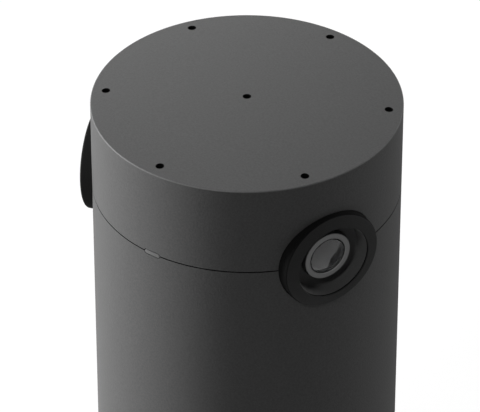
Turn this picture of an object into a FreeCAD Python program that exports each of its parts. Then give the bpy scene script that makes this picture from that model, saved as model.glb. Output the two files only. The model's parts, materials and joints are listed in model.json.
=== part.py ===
import FreeCAD, Part
import math
import os

# Tabletop conference camera: a tall round tower with two wide-angle cameras
# near its top, seven microphones under a domed cover and a status light in
# the seam between cover and sleeve.
# Row frame in millimetres: origin on the table at the centre of the base,
# +Z up, the status light facing -Y, the right camera towards +X.

# Casing
body_radius = 47.5
shell_wall = 2.0
rim_height = 280.0
dome_rise = 1.6
rim_chamfer = 0.35
cover_thickness = 2.8
seam_drop = 29.46
seam_gap = 0.4
tongue_wall = 1.4
tongue_depth = 3.0
tongue_clearance = 0.1

# Camera directions, measured from the front
camera_angle = 68.3
camera_tilt = 1.55
camera_drop = 28.11

# Camera bezel; its face stands proud of the casing along the lens axis
bezel_radius = 16.2
bezel_clearance = 0.2
bezel_face_stand = 1.2
bezel_lip_rise = 1.0
bezel_edge_round = 0.8
bezel_depth = 7.7
bezel_rear_wall = 1.6
well_mouth_radius = 12.15
well_lip_chamfer = 0.3
well_floor_radius = 11.6
well_depth = 5.3
well_floor_thickness = 1.6
barrel_hole_clearance = 0.18
pin_boss_inset = 0.6
pin_boss_radius = 2.0
pin_radius = 1.2
pin_length = 5.0
pin_clearance = 0.05
pin_shoulder_gap = 0.1

# Lens
trim_ring_radius = 7.92
trim_ring_stand = 1.9
trim_ring_length = 2.1
trim_ring_bore = 6.1
trim_ring_round = 0.25
barrel_inset = 0.32
barrel_length = 14.2
barrel_bore = 5.0
barrel_stop_bore = 4.2
barrel_stop_length = 2.0
glass_clearance = 0.06
dome_edge_inset = 0.3
dome_edge_length = 2.6
dome_curve = 14.0
dome_seat_land = 0.95
rear_lens_clearance = 0.05
rear_lens_edge = 2.4
rear_lens_bulge = 0.8

# Lens mount, light seal, sensor and sensor board
seal_thickness = 1.8
seal_clearance = 0.1
mount_tube_radius = 9.6
mount_thread_clearance = 0.05
mount_floor_thickness = 1.6
mount_base_half = 7.5
mount_base_height = 3.0
mount_cavity_half = 5.8
mount_aperture_radius = 4.6
board_thickness = 1.2
sensor_board_gap = 0.4
sensor_half_width = 4.8
sensor_half_height = 3.8
sensor_thickness = 1.1
sensor_screw_inset = 1.7
sensor_screw_radius = 0.8
sensor_screw_length = 3.0

# Camera carrier
board_standoff = 2.0
wing_thickness = 2.5
wing_half_width = 17.0
wing_half_height = 16.0
standoff_radius = 1.7
post_radius = 2.2
hub_screw_gap = 5.5
hub_front = -12.0
hub_back = 14.0
web_half_width = 6.0
web_half_height = 12.0
carrier_flange_drop = 23.0
carrier_flange_gap = 4.2
carrier_flange_thickness = 3.0
carrier_top_rise = 16.5
carrier_top_thickness = 2.4
carrier_top_margin = 6.0
light_arm_half_width = 5.0
light_arm_half_height = 3.5
carrier_screw_inset = 5.5
carrier_screw_front = -6.0
carrier_screw_back = 8.0
carrier_screw_radius = 1.25

# Screws and their fits
screw_fit = 0.05
screw_pass = 0.3
head_ratio = 1.9
head_height_ratio = 1.2
socket_ratio = 0.8
socket_depth_ratio = 0.7

# Cover posts and screws
cover_post_circle = 20.0
cover_post_radius = 3.0
cover_post_turn = 120.0
cover_screw_radius = 1.25
cover_screw_length = 8.0

# Microphones
mic_inset = 4.37
mic_count = 6
mic_hole_radius = 1.3
mic_board_gap = 3.0
mic_board_thickness = 1.6
mic_board_clearance = 0.3
mic_port_radius = 0.6
mic_gasket_gap = 0.27
mic_mesh_thickness = 0.2
mic_length = 3.5
mic_width = 2.65
mic_height = 1.0
mic_boss_gap = 4.03
mic_boss_radius = 3.0
mic_screw_radius = 1.0
mic_screw_length = 4.0

# Status light
light_length = 5.5
light_height = 1.25
light_slot_gap = 0.3
light_hood_depth = 4.5
light_hood_half_width = 4.6
light_hood_half_height = 2.6
light_board_depth = 9.5
light_board_thickness = 1.2
light_board_half_width = 9.0
light_board_half_height = 6.5
led_half_width = 1.6
led_half_height = 0.8
led_thickness = 1.0
led_clearance = 0.4

# Chassis spine
spine_half_width = 30.0
spine_front = 4.0
spine_thickness = 5.0
fin_count = 9
fin_edge_inset = 2.0
fin_thickness = 1.6
fin_shell_gap = 4.63
fin_foot_gap = 17.0
fin_top_gap = 12.0
spine_foot_inset = 5.5
spine_flange_thickness = 3.0
spine_screw_inset = 6.0
spine_screw_turn = 38.6
spine_screw_radius = 1.5
spine_screw_length = 9.0
pedestal_half = 12.0
pedestal_rise = 60.0

# Main board
main_board_back = -3.0
main_board_thickness = 1.6
main_board_half_width = 30.0
main_board_foot_gap = 23.2
main_board_top_gap = 20.9
main_screw_inset = 4.0
main_screw_radius = 1.25
main_screw_length = 6.0
main_standoff_radius = 2.6
processor_half = 10.0
processor_height = 1.8
pad_thickness = 1.2
memory_half_width = 4.5
memory_half_height = 5.5
memory_thickness = 1.0
memory_offset_x = 19.0
memory_offset_z = 7.0
power_module_width = 18.0
power_module_height = 16.0
power_module_depth = 11.0
power_module_x = -13.0
power_module_rise = 20.0

# Cables and their connectors
cable_radius = 0.7
cable_bend = 5.0
connector_width = 5.0
connector_height = 4.0
connector_depth = 2.0
board_connector_drop = 7.0
sensor_connector_thickness = 1.6
sensor_connector_place = -9.0
sensor_connector_height = 3.0
camera_plug_inset = 8.55
mic_cable_x = 10.0
mic_cable_y = -31.0
light_cable_x = -7.0
port_cable_x = 7.0
port_cable_y = -17.0
cable_passage_radius = 2.4

# Base plate, cable bay and foot
foot_proud = 0.8
foot_groove = 0.8
foot_inset = 4.5
foot_width = 5.4
foot_gap_half = 27.5
foot_fit = 0.1
base_flange_inset = 0.8
base_flange_thickness = 1.2
base_thickness = 2.8
base_fit = 0.12
bay_half_width = 24.0
bay_height = 20.4
bay_wall = 1.8
port_wall_front = 8.0
notch_half_width = 9.0
notch_top = 13.0
notch_round = 4.0
base_screw_gap = 1.6
base_screw_turn = 110.0
base_screw_radius = 1.5
base_screw_length = 29.0
base_column_radius = 3.8
base_head_radius = 3.0
base_head_depth = 1.8
ballast_clearance = 2.0
ballast_thickness = 8.0

# Threaded insert for a table mount
insert_radius = 4.6
insert_length = 10.0
insert_thread_radius = 2.6
insert_boss_radius = 6.2
insert_boss_roof = 1.4
insert_mouth_chamfer = 0.5

# Port board and sockets
port_boss_height = 1.8
port_board_thickness = 1.6
port_board_half_width = 23.0
port_board_front = -24.0
port_board_wall_gap = 0.3
port_boss_radius = 2.6
port_screw_radius = 1.0
port_screw_length = 4.0
port_screw_x = 19.0
port_screw_front = -20.0
port_screw_back = -6.0
jack_boss_gap = 0.4
jack_width = 15.6
jack_height = 13.4
jack_length = 21.0
socket_width = 11.8
socket_height = 7.0
socket_depth = 14.0
socket_floor = 4.6
latch_width = 6.2
latch_step = 2.0
contact_count = 8
contact_pitch = 1.02
contact_width = 0.4
contact_drop = 1.0
contact_length = 9.0
wall_window_gap = 0.2
usb_x = 10.9
usb_width = 8.94
usb_height = 3.2
usb_length = 7.4
usb_wall = 0.3
usb_lift = 1.0
usb_tongue_width = 6.7
usb_tongue_thickness = 0.7
usb_tongue_length = 5.0

# Reset button and switch
button_x = 19.6
button_rise = 5.0
button_radius = 2.0
button_fit = 0.05
button_proud = 0.4
button_travel = 0.5
button_flange_radius = 2.9
button_flange_thickness = 1.0
button_stop_gap = 0.1
button_stem_radius = 1.0
button_stem_length = 1.5
switch_half_width = 3.0
switch_length = 3.6
switch_top_margin = 2.0
plunger_radius = 0.8
plunger_fit = 0.05
plunger_length = 2.4
plunger_out = 1.2
plunger_gap = 0.1

# Derived heights and places
beyond = 200.0
seam_height = rim_height - seam_drop
lens_height = rim_height - camera_drop
shell_inner = body_radius - shell_wall
cover_inside = rim_height - cover_thickness
foot_top = foot_proud + foot_groove
flange_top = foot_proud + base_flange_thickness
base_floor = foot_proud + base_thickness
bay_ceiling = base_floor + bay_height
bay_roof = bay_ceiling + bay_wall
ballast_top = bay_roof + ballast_thickness
spine_foot_top = ballast_top + spine_flange_thickness
pin_circle = bezel_radius - pin_boss_inset - pin_boss_radius
sensor_board_half = pin_circle - post_radius - sensor_board_gap
sensor_screw_place = sensor_board_half - sensor_screw_inset
bezel_face_reach = body_radius + bezel_face_stand
bezel_lip_reach = bezel_face_reach + bezel_lip_rise
bezel_back_reach = bezel_face_reach - bezel_depth
well_floor_reach = bezel_lip_reach - well_depth
well_floor_back = well_floor_reach - well_floor_thickness
trim_ring_reach = well_floor_reach + trim_ring_stand
trim_ring_back = trim_ring_reach - trim_ring_length
dome_edge_reach = trim_ring_reach - dome_edge_inset
dome_seat = dome_edge_reach - dome_edge_length
glass_radius = trim_ring_bore - glass_clearance
barrel_radius = trim_ring_radius - barrel_inset
barrel_back_reach = trim_ring_back - barrel_length
mount_tube_reach = well_floor_back - seal_thickness
sensor_board_front = barrel_back_reach - mount_floor_thickness - mount_base_height
sensor_board_back = sensor_board_front - board_thickness
wing_front = sensor_board_back - board_standoff
post_end = bezel_back_reach - pin_length
carrier_flange_radius = sensor_board_back - carrier_flange_gap
carrier_screw_x = carrier_flange_radius - carrier_screw_inset
hub_half_width = carrier_screw_x - hub_screw_gap
carrier_top_height = lens_height + carrier_top_rise
carrier_top_radius = cover_post_circle + carrier_top_margin
carrier_base = lens_height - carrier_flange_drop
carrier_floor = carrier_base + carrier_flange_thickness
spine_top = carrier_base - spine_flange_thickness
spine_back = spine_front + spine_thickness
fin_bottom = spine_foot_top + fin_foot_gap
fin_top = spine_top - fin_top_gap
fin_pitch = 2 * (spine_half_width - fin_edge_inset) / (fin_count - 1)
fin_outer_x = spine_half_width - fin_edge_inset + fin_thickness / 2
fin_back = math.sqrt((shell_inner - fin_shell_gap) ** 2 - fin_outer_x ** 2)
main_board_front = main_board_back - main_board_thickness
main_board_bottom = spine_foot_top + main_board_foot_gap
main_board_top = spine_top - main_board_top_gap
pedestal_height = main_board_bottom + pedestal_rise
power_module_z = main_board_bottom + power_module_rise
carrier_screw_length = carrier_flange_thickness + spine_flange_thickness
board_connector_z = main_board_top - board_connector_drop
cable_lead = 2 * cable_bend
camera_plug_x = main_board_half_width - camera_plug_inset
mic_circle = body_radius - mic_inset
mic_gasket_radius = mic_inset - shell_wall - mic_gasket_gap
mic_boss_circle = mic_circle - mic_gasket_radius - mic_boss_gap - mic_boss_radius
mic_board_top = cover_inside - mic_board_gap
mic_board_bottom = mic_board_top - mic_board_thickness
port_wall_back = port_wall_front + bay_wall
port_board_bottom = base_floor + port_boss_height
port_board_top = port_board_bottom + port_board_thickness
jack_x = -insert_boss_radius - jack_boss_gap - jack_width / 2
button_height = port_board_top + button_rise
button_flange_front = port_wall_front - button_stop_gap
button_stem_end = button_flange_front - button_flange_thickness - button_stem_length
plunger_tip = button_stem_end - plunger_gap
switch_face = plunger_tip - plunger_out
foot_outer = body_radius - foot_inset
foot_inner = foot_outer - foot_width
base_screw_circle = foot_inner - base_screw_gap - base_head_radius
ballast_radius = shell_inner - ballast_clearance
spine_foot_radius = ballast_radius - spine_foot_inset
spine_screw_circle = spine_foot_radius - spine_screw_inset
bezel_hole_radius = bezel_radius + bezel_clearance
barrel_hole_radius = trim_ring_radius + barrel_hole_clearance
light_hood_reach = body_radius - light_hood_depth
light_board_reach = body_radius - light_board_depth
light_board_back = -light_board_reach + light_board_thickness

# Helpers


def vector(x, y, z):
    return FreeCAD.Vector(x, y, z)


def cylinder(radius, bottom, top, x=0.0, y=0.0):
    return Part.makeCylinder(radius, top - bottom, vector(x, y, bottom))


def ring(outer, inner, bottom, top):
    return cylinder(outer, bottom, top).cut(cylinder(inner, bottom, top))


def box(x0, x1, y0, y1, z0, z1):
    return Part.makeBox(x1 - x0, y1 - y0, z1 - z0, vector(x0, y0, z0))


def centred_box(half_x, half_y, bottom, top, x=0.0, y=0.0):
    return box(x - half_x, x + half_x, y - half_y, y + half_y, bottom, top)


def turned(outline):
    """Solid of revolution about Z from (radius, height) points."""
    points = [vector(radius, 0.0, height) for radius, height in outline]
    face = Part.Face(Part.makePolygon(points + points[:1]))
    return face.revolve(vector(0, 0, 0), vector(0, 0, 1), 360)


def moved(shape, placement):
    copy = shape.copy()
    copy.Placement = placement.multiply(shape.Placement)
    return copy


def joined(shapes):
    return shapes[0].multiFuse(shapes[1:]).removeSplitter()


def lens_frame(side):
    """Local frame of a camera: Z outwards along its lens axis, Y up; side is 1 or -1."""
    turn = math.radians(camera_angle) * side
    tilt = math.radians(camera_tilt)
    outward = vector(math.sin(turn) * math.cos(tilt), -math.cos(turn) * math.cos(tilt), -math.sin(tilt))
    sideways = vector(math.cos(turn), math.sin(turn), 0)
    rotation = FreeCAD.Rotation(sideways, outward.cross(sideways), outward, "ZXY")
    return FreeCAD.Placement(vector(0, 0, lens_height), rotation)


def in_camera(shape, side):
    return moved(shape, lens_frame(side))


def pointing(position, direction):
    """Placement that carries +Z onto a direction."""
    return FreeCAD.Placement(position, FreeCAD.Rotation(vector(0, 0, 1), direction))


def screw(radius, length):
    """Cap screw with its head's underside at the origin and its shank down -Z."""
    head = cylinder(head_ratio * radius, 0, head_height_ratio * radius)
    shank = cylinder(radius, -length, 0)
    socket_bottom = (head_height_ratio - socket_depth_ratio) * radius
    socket = cylinder(socket_ratio * radius, socket_bottom, head_height_ratio * radius)
    return head.fuse(shank).cut(socket)


def screw_group(radius, length, places, direction):
    return Part.makeCompound([moved(screw(radius, length), pointing(place, direction)) for place in places])


def polar(circle, angle, z=0.0):
    return vector(circle * math.cos(math.radians(angle)), circle * math.sin(math.radians(angle)), z)


def obround(length, height, front, back, z):
    """Bar with round ends along X, running from y = front to y = back."""
    end = height / 2
    half = length / 2 - end
    bar = box(-half, half, front, back, z - end, z + end)
    ends = [Part.makeCylinder(end, back - front, vector(x, front, z), vector(0, 1, 0)) for x in (-half, half)]
    return bar.multiFuse(ends).removeSplitter()


def round_cable(points):
    """Cable of round section along straight runs joined by tangent arcs."""
    edges = []
    start = points[0]
    for before, corner, after in zip(points, points[1:], points[2:]):
        inward = (before - corner).normalize()
        outward = (after - corner).normalize()
        half_turn = (math.pi - inward.getAngle(outward)) / 2
        cut = cable_bend * math.tan(half_turn)
        bisector = (inward + outward).normalize()
        centre = corner + bisector * (cable_bend / math.cos(half_turn))
        first = corner + inward * cut
        last = corner + outward * cut
        middle = centre - bisector * cable_bend
        edges.append(Part.LineSegment(start, first).toShape())
        edges.append(Part.Arc(first, middle, last).toShape())
        start = last
    edges.append(Part.LineSegment(start, points[-1]).toShape())
    path = Part.Wire(edges)
    section = Part.Wire([Part.makeCircle(cable_radius, points[0], points[1] - points[0])])
    return path.makePipeShell([section], True, False)


def along_y(radius, start, end):
    """Round bar on the reset button's axis."""
    return Part.makeCylinder(radius, end - start, vector(button_x, start, button_height), vector(0, 1, 0))


# Places shared by several pieces


def mic_places(z):
    ring_places = [polar(mic_circle, -90 + k * 360 / mic_count, z) for k in range(mic_count)]
    return ring_places + [vector(0, 0, z)]


def cover_post_places(z):
    return [polar(cover_post_circle, -90 + k * cover_post_turn, z) for k in range(3)]


def mic_boss_places(z):
    return [polar(mic_boss_circle, 90 + k * cover_post_turn, z) for k in range(3)]


def base_screw_places(z):
    return [polar(base_screw_circle, -90 + k * base_screw_turn, z) for k in (-1, 0, 1)]


def carrier_screw_places(z):
    rows = (carrier_screw_front, carrier_screw_back)
    return [vector(x, y, z) for x in (-carrier_screw_x, carrier_screw_x) for y in rows]


def spine_screw_places(z):
    turns = (spine_screw_turn, 180 - spine_screw_turn)
    return [polar(spine_screw_circle, sign * turn, z) for turn in turns for sign in (-1, 1)]


def main_screw_places(y):
    x = main_board_half_width - main_screw_inset
    heights = (main_board_bottom + main_screw_inset, main_board_top - main_screw_inset)
    return [vector(sign * x, y, z) for sign in (-1, 1) for z in heights]


def port_screw_places(z):
    front_left = vector(-port_screw_x, port_screw_front, z)
    front_right = vector(port_screw_x, port_screw_front, z)
    back_right = vector(port_screw_x, port_screw_back, z)
    return [front_left, front_right, back_right]


def sensor_screw_places(reach):
    signs = (-1, 1)
    return [vector(x * sensor_screw_place, y * sensor_screw_place, reach) for x in signs for y in signs]


def pin_places(reach):
    return [vector(-pin_circle, 0, reach), vector(pin_circle, 0, reach), vector(0, pin_circle, reach)]


def bezel_holes():
    hole = cylinder(bezel_hole_radius, post_end, beyond)
    return [in_camera(hole, side) for side in (-1, 1)]


def light_slot():
    length = light_length + 2 * light_slot_gap
    height = light_height + 2 * light_slot_gap
    return obround(length, height, -beyond, -light_hood_reach - light_slot_gap, seam_height)


# Casing


def make_top_cover():
    flat_radius = body_radius - rim_chamfer
    curve = (flat_radius ** 2 + dome_rise ** 2) / (2 * dome_rise)
    middle = flat_radius / 2
    middle_rise = dome_rise - curve + math.sqrt(curve ** 2 - middle ** 2)
    crown = vector(0, 0, rim_height + dome_rise)
    crown_middle = vector(middle, 0, rim_height + middle_rise)
    flat_edge = vector(flat_radius, 0, rim_height)
    rim_edge = vector(body_radius, 0, rim_height - rim_chamfer)
    bottom = seam_height + seam_gap / 2
    outline = [
        Part.Arc(crown, crown_middle, flat_edge).toShape(),
        Part.makeLine(flat_edge, rim_edge),
        Part.makeLine(rim_edge, vector(body_radius, 0, bottom)),
        Part.makeLine(vector(body_radius, 0, bottom), vector(shell_inner, 0, bottom)),
        Part.makeLine(vector(shell_inner, 0, bottom), vector(shell_inner, 0, cover_inside)),
        Part.makeLine(vector(shell_inner, 0, cover_inside), vector(0, 0, cover_inside)),
        Part.makeLine(vector(0, 0, cover_inside), crown),
    ]
    shell = Part.Face(Part.Wire(outline)).revolve(vector(0, 0, 0), vector(0, 0, 1), 360)
    tongue_outer = shell_inner - tongue_clearance
    tongue_inner = tongue_outer - tongue_wall
    tongue_top = seam_height + tongue_depth
    tongue = ring(tongue_outer, tongue_inner, seam_height - tongue_depth, tongue_top)
    root = ring(body_radius - shell_wall / 2, tongue_inner, bottom, tongue_top)
    post_foot = carrier_top_height + carrier_top_thickness
    posts = []
    for place in cover_post_places(cover_inside):
        posts.append(cylinder(cover_post_radius, post_foot, cover_inside, place.x, place.y))
    for place in mic_boss_places(cover_inside):
        posts.append(cylinder(mic_boss_radius, mic_board_top, cover_inside, place.x, place.y))
    cover = joined([shell, root, tongue] + posts)
    holes = bezel_holes() + [light_slot()]
    sky = rim_height + beyond
    holes += [cylinder(mic_hole_radius, mic_board_top, sky, p.x, p.y) for p in mic_places(0)]
    cover_bore = cover_screw_radius + screw_fit
    cover_bore_end = carrier_top_height + cover_screw_length
    holes += [cylinder(cover_bore, post_foot, cover_bore_end, p.x, p.y) for p in cover_post_places(0)]
    mic_bore = mic_screw_radius + screw_fit
    mic_bore_end = mic_board_bottom + mic_screw_length
    holes += [cylinder(mic_bore, mic_board_top, mic_bore_end, p.x, p.y) for p in mic_boss_places(0)]
    return cover.cut(Part.makeCompound(holes))


def make_body_sleeve():
    sleeve = ring(body_radius, shell_inner, flange_top, seam_height - seam_gap / 2)
    arch_height = notch_top - notch_round
    notch = box(-notch_half_width, notch_half_width, 0, beyond, -beyond, arch_height)
    inner_half = notch_half_width - notch_round
    crown = box(-inner_half, inner_half, 0, beyond, arch_height, notch_top)
    back = vector(0, 1, 0)
    corner_places = [vector(x, 0, arch_height) for x in (-inner_half, inner_half)]
    corners = [Part.makeCylinder(notch_round, beyond, place, back) for place in corner_places]
    opening = joined([notch, crown] + corners)
    return sleeve.cut(Part.makeCompound(bezel_holes() + [light_slot(), opening]))


# Cameras, in their local frame


def make_camera_bezel():
    rear_radius = bezel_radius - bezel_rear_wall
    lip_radius = well_mouth_radius + well_lip_chamfer
    body = turned([
        (barrel_hole_radius, well_floor_back),
        (barrel_hole_radius, well_floor_reach),
        (well_floor_radius, well_floor_reach),
        (well_mouth_radius, bezel_lip_reach - well_lip_chamfer),
        (lip_radius, bezel_lip_reach),
        (bezel_radius, bezel_face_reach),
        (bezel_radius, bezel_back_reach),
        (rear_radius, bezel_back_reach),
        (rear_radius, well_floor_back),
    ])
    tolerance = 0.001
    low = bezel_face_reach - tolerance
    high = bezel_face_reach + tolerance
    front_edges = [e for e in body.Edges if e.BoundBox.ZMin > low and e.BoundBox.ZMax < high]
    body = body.makeFillet(bezel_edge_round, front_edges)
    shoulder = post_end + pin_shoulder_gap
    for place in pin_places(0):
        boss = cylinder(pin_boss_radius, shoulder, well_floor_back, place.x, place.y)
        pin = cylinder(pin_radius, shoulder - pin_length, well_floor_back, place.x, place.y)
        body = body.fuse(boss).fuse(pin)
    return body.removeSplitter()


def make_trim_ring():
    return turned([
        (trim_ring_bore, trim_ring_back),
        (trim_ring_bore, trim_ring_reach - trim_ring_round),
        (trim_ring_bore + trim_ring_round, trim_ring_reach),
        (trim_ring_radius - trim_ring_round, trim_ring_reach),
        (trim_ring_radius, trim_ring_reach - trim_ring_round),
        (trim_ring_radius, trim_ring_back),
    ])


def make_lens_barrel():
    stop_top = barrel_back_reach + barrel_stop_length
    return turned([
        (barrel_stop_bore, barrel_back_reach),
        (barrel_radius, barrel_back_reach),
        (barrel_radius, trim_ring_back),
        (trim_ring_bore, trim_ring_back),
        (trim_ring_bore, dome_seat),
        (barrel_bore, dome_seat),
        (barrel_bore, stop_top),
        (barrel_stop_bore, stop_top),
    ])


def make_lens_dome():
    sag = dome_curve - math.sqrt(dome_curve ** 2 - glass_radius ** 2)
    centre_reach = dome_edge_reach + sag - dome_curve
    blank = cylinder(glass_radius, dome_seat, dome_edge_reach + sag)
    front = blank.common(Part.makeSphere(dome_curve, vector(0, 0, centre_reach)))
    hollow_radius = glass_radius - dome_seat_land
    inner_curve = math.hypot(hollow_radius, dome_seat - centre_reach)
    return front.cut(Part.makeSphere(inner_curve, vector(0, 0, centre_reach)))


def make_rear_lens():
    radius = barrel_bore - rear_lens_clearance
    back = barrel_back_reach + barrel_stop_length
    edge = cylinder(radius, back, back + rear_lens_edge)
    curve = (radius ** 2 + rear_lens_bulge ** 2) / (2 * rear_lens_bulge)
    ball = Part.makeSphere(curve, vector(0, 0, back + rear_lens_edge + rear_lens_bulge - curve))
    cap = cylinder(radius, back + rear_lens_edge / 2, back + rear_lens_edge + rear_lens_bulge).common(ball)
    return edge.fuse(cap).removeSplitter()


def make_lens_seal():
    return ring(mount_tube_radius, barrel_radius + seal_clearance, mount_tube_reach, well_floor_back)


def make_lens_mount():
    bore = barrel_radius + mount_thread_clearance
    base_top = sensor_board_front + mount_base_height
    floor_top = base_top + mount_floor_thickness
    base = centred_box(mount_base_half, mount_base_half, sensor_board_front, base_top)
    base = base.cut(centred_box(mount_cavity_half, mount_cavity_half, sensor_board_front, base_top))
    tube = cylinder(mount_tube_radius, base_top, mount_tube_reach)
    tube = tube.cut(cylinder(bore, floor_top, mount_tube_reach))
    tube = tube.cut(cylinder(mount_aperture_radius, base_top, floor_top))
    return base.fuse(tube).removeSplitter()


def make_image_sensor():
    top = sensor_board_front + sensor_thickness
    return centred_box(sensor_half_width, sensor_half_height, sensor_board_front, top)


def make_sensor_board():
    board = centred_box(sensor_board_half, sensor_board_half, sensor_board_back, sensor_board_front)
    hole = sensor_screw_radius + screw_pass
    holes = [cylinder(hole, sensor_board_back, sensor_board_front, p.x, p.y) for p in sensor_screw_places(0)]
    return board.cut(Part.makeCompound(holes))


def make_sensor_screws():
    places = sensor_screw_places(sensor_board_front)
    group = screw_group(sensor_screw_radius, sensor_screw_length, places, vector(0, 0, 1))
    screws = []
    for side in (-1, 1):
        screws += in_camera(group, side).Solids
    return Part.makeCompound(screws)


# Frame parts


def make_wing():
    """One camera's seat on the carrier, in the camera's local frame."""
    wing_back = wing_front - wing_thickness
    plate = centred_box(wing_half_width, wing_half_height, wing_back, wing_front)
    web = centred_box(web_half_width, web_half_height, 0, wing_back)
    pieces = [plate, web]
    holes = []
    for place in pin_places(0):
        pieces.append(cylinder(post_radius, wing_front, post_end, place.x, place.y))
        bottom = post_end - pin_length
        holes.append(cylinder(pin_radius + pin_clearance, bottom, post_end, place.x, place.y))
    for place in sensor_screw_places(0):
        pieces.append(cylinder(standoff_radius, wing_front, sensor_board_back, place.x, place.y))
        bottom = sensor_board_front - sensor_screw_length - screw_pass
        holes.append(cylinder(sensor_screw_radius + screw_fit, bottom, sensor_board_back, place.x, place.y))
    return joined(pieces).cut(Part.makeCompound(holes))


def make_camera_carrier():
    top = carrier_top_height + carrier_top_thickness
    flange = cylinder(carrier_flange_radius, carrier_base, carrier_floor)
    hub = box(-hub_half_width, hub_half_width, hub_front, hub_back, carrier_base, carrier_top_height)
    plate = cylinder(carrier_top_radius, carrier_top_height, top)
    arm = box(
        -light_arm_half_width, light_arm_half_width, light_board_back, hub_front,
        seam_height - light_arm_half_height, seam_height + light_arm_half_height)
    wings = [in_camera(make_wing(), side) for side in (-1, 1)]
    carrier = joined([flange, hub, plate, arm] + wings)
    flange_hole = carrier_screw_radius + screw_pass
    holes = [cylinder(flange_hole, carrier_base, carrier_floor, p.x, p.y) for p in carrier_screw_places(0)]
    top_hole = cover_screw_radius + screw_pass
    holes += [cylinder(top_hole, carrier_top_height, top, p.x, p.y) for p in cover_post_places(0)]
    return carrier.cut(Part.makeCompound(holes))


def make_chassis_spine():
    foot = cylinder(spine_foot_radius, ballast_top, spine_foot_top)
    plate = box(-spine_half_width, spine_half_width, spine_front, spine_back, ballast_top, spine_top)
    flange = cylinder(carrier_flange_radius, spine_top, carrier_base)
    pieces = [foot, plate, flange]
    for k in range(fin_count):
        x = (k - (fin_count - 1) / 2) * fin_pitch
        left = x - fin_thickness / 2
        right = x + fin_thickness / 2
        pieces.append(box(left, right, spine_back, fin_back, fin_bottom, fin_top))
    pad_front = main_board_back + processor_height + pad_thickness
    low = pedestal_height - pedestal_half
    high = pedestal_height + pedestal_half
    pieces.append(box(-pedestal_half, pedestal_half, pad_front, spine_front, low, high))
    standoff_length = spine_front - main_board_back
    for place in main_screw_places(main_board_back):
        pieces.append(Part.makeCylinder(main_standoff_radius, standoff_length, place, vector(0, 1, 0)))
    spine = joined(pieces)
    holes = [cylinder(cable_passage_radius, ballast_top, spine_foot_top, port_cable_x, port_cable_y)]
    for place in spine_screw_places(0):
        holes.append(cylinder(spine_screw_radius + screw_pass, ballast_top, spine_foot_top, place.x, place.y))
    for place in carrier_screw_places(0):
        holes.append(cylinder(carrier_screw_radius + screw_fit, spine_top, carrier_base, place.x, place.y))
    for place in main_screw_places(main_board_back):
        depth = main_screw_length - main_board_thickness + screw_pass
        holes.append(Part.makeCylinder(main_screw_radius + screw_fit, depth, place, vector(0, 1, 0)))
    return spine.cut(Part.makeCompound(holes))


def make_ballast_plate():
    plate = cylinder(ballast_radius, bay_roof, ballast_top)
    holes = [cylinder(cable_passage_radius, bay_roof, ballast_top, port_cable_x, port_cable_y)]
    for place in base_screw_places(0):
        top = foot_proud + base_screw_length + screw_pass
        holes.append(cylinder(base_screw_radius + screw_fit, bay_roof, top, place.x, place.y))
    for place in spine_screw_places(0):
        bottom = spine_foot_top - spine_screw_length - screw_pass
        holes.append(cylinder(spine_screw_radius + screw_fit, bottom, ballast_top, place.x, place.y))
    return plate.cut(Part.makeCompound(holes))


# Microphones


def make_microphone_board():
    board = cylinder(shell_inner - mic_board_clearance, mic_board_bottom, mic_board_top)
    holes = [cylinder(mic_port_radius, mic_board_bottom, mic_board_top, p.x, p.y) for p in mic_places(0)]
    post_hole = cover_post_radius + mic_board_clearance
    holes += [cylinder(post_hole, mic_board_bottom, mic_board_top, p.x, p.y) for p in cover_post_places(0)]
    screw_hole = mic_screw_radius + screw_pass
    holes += [cylinder(screw_hole, mic_board_bottom, mic_board_top, p.x, p.y) for p in mic_boss_places(0)]
    return board.cut(Part.makeCompound(holes))


def make_microphones():
    mics = []
    for k, place in enumerate(mic_places(mic_board_bottom - mic_height)):
        mic = centred_box(mic_length / 2, mic_width / 2, 0, mic_height)
        sound_inlet = cylinder(mic_port_radius, mic_height / 2, mic_height)
        turn = FreeCAD.Rotation(vector(0, 0, 1), k * 360 / mic_count)
        mics.append(moved(mic.cut(sound_inlet), FreeCAD.Placement(place, turn)))
    return Part.makeCompound(mics)


def make_microphone_gaskets():
    top = cover_inside - mic_mesh_thickness
    gasket = ring(mic_gasket_radius, mic_hole_radius, mic_board_top, top)
    return Part.makeCompound([gasket.translated(p) for p in mic_places(0)])


def make_microphone_meshes():
    mesh = cylinder(mic_gasket_radius, cover_inside - mic_mesh_thickness, cover_inside)
    return Part.makeCompound([mesh.translated(p) for p in mic_places(0)])


# Status light


def make_status_light_pipe():
    bar = obround(light_length, light_height, -body_radius, -light_hood_reach, seam_height)
    bar = bar.common(cylinder(body_radius, 0, rim_height))
    hood = box(
        -light_hood_half_width, light_hood_half_width, -light_hood_reach, -light_board_reach,
        seam_height - light_hood_half_height, seam_height + light_hood_half_height)
    cavity = box(
        -led_half_width - led_clearance, led_half_width + led_clearance,
        -light_board_reach - led_thickness - led_clearance, -light_board_reach,
        seam_height - led_half_height - led_clearance, seam_height + led_half_height + led_clearance)
    return bar.fuse(hood).cut(cavity).removeSplitter()


def make_status_led_board():
    return box(
        -light_board_half_width, light_board_half_width, -light_board_reach, light_board_back,
        seam_height - light_board_half_height, seam_height + light_board_half_height)


def make_status_led():
    return box(
        -led_half_width, led_half_width, -light_board_reach - led_thickness, -light_board_reach,
        seam_height - led_half_height, seam_height + led_half_height)


# Main board


def make_main_board():
    board = box(
        -main_board_half_width, main_board_half_width, main_board_front, main_board_back,
        main_board_bottom, main_board_top)
    radius = main_screw_radius + screw_pass
    back = vector(0, 1, 0)
    places = main_screw_places(main_board_front)
    holes = [Part.makeCylinder(radius, main_board_thickness, place, back) for place in places]
    return board.cut(Part.makeCompound(holes))


def make_processor():
    back = main_board_back + processor_height
    return box(
        -processor_half, processor_half, main_board_back, back,
        pedestal_height - processor_half, pedestal_height + processor_half)


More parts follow.
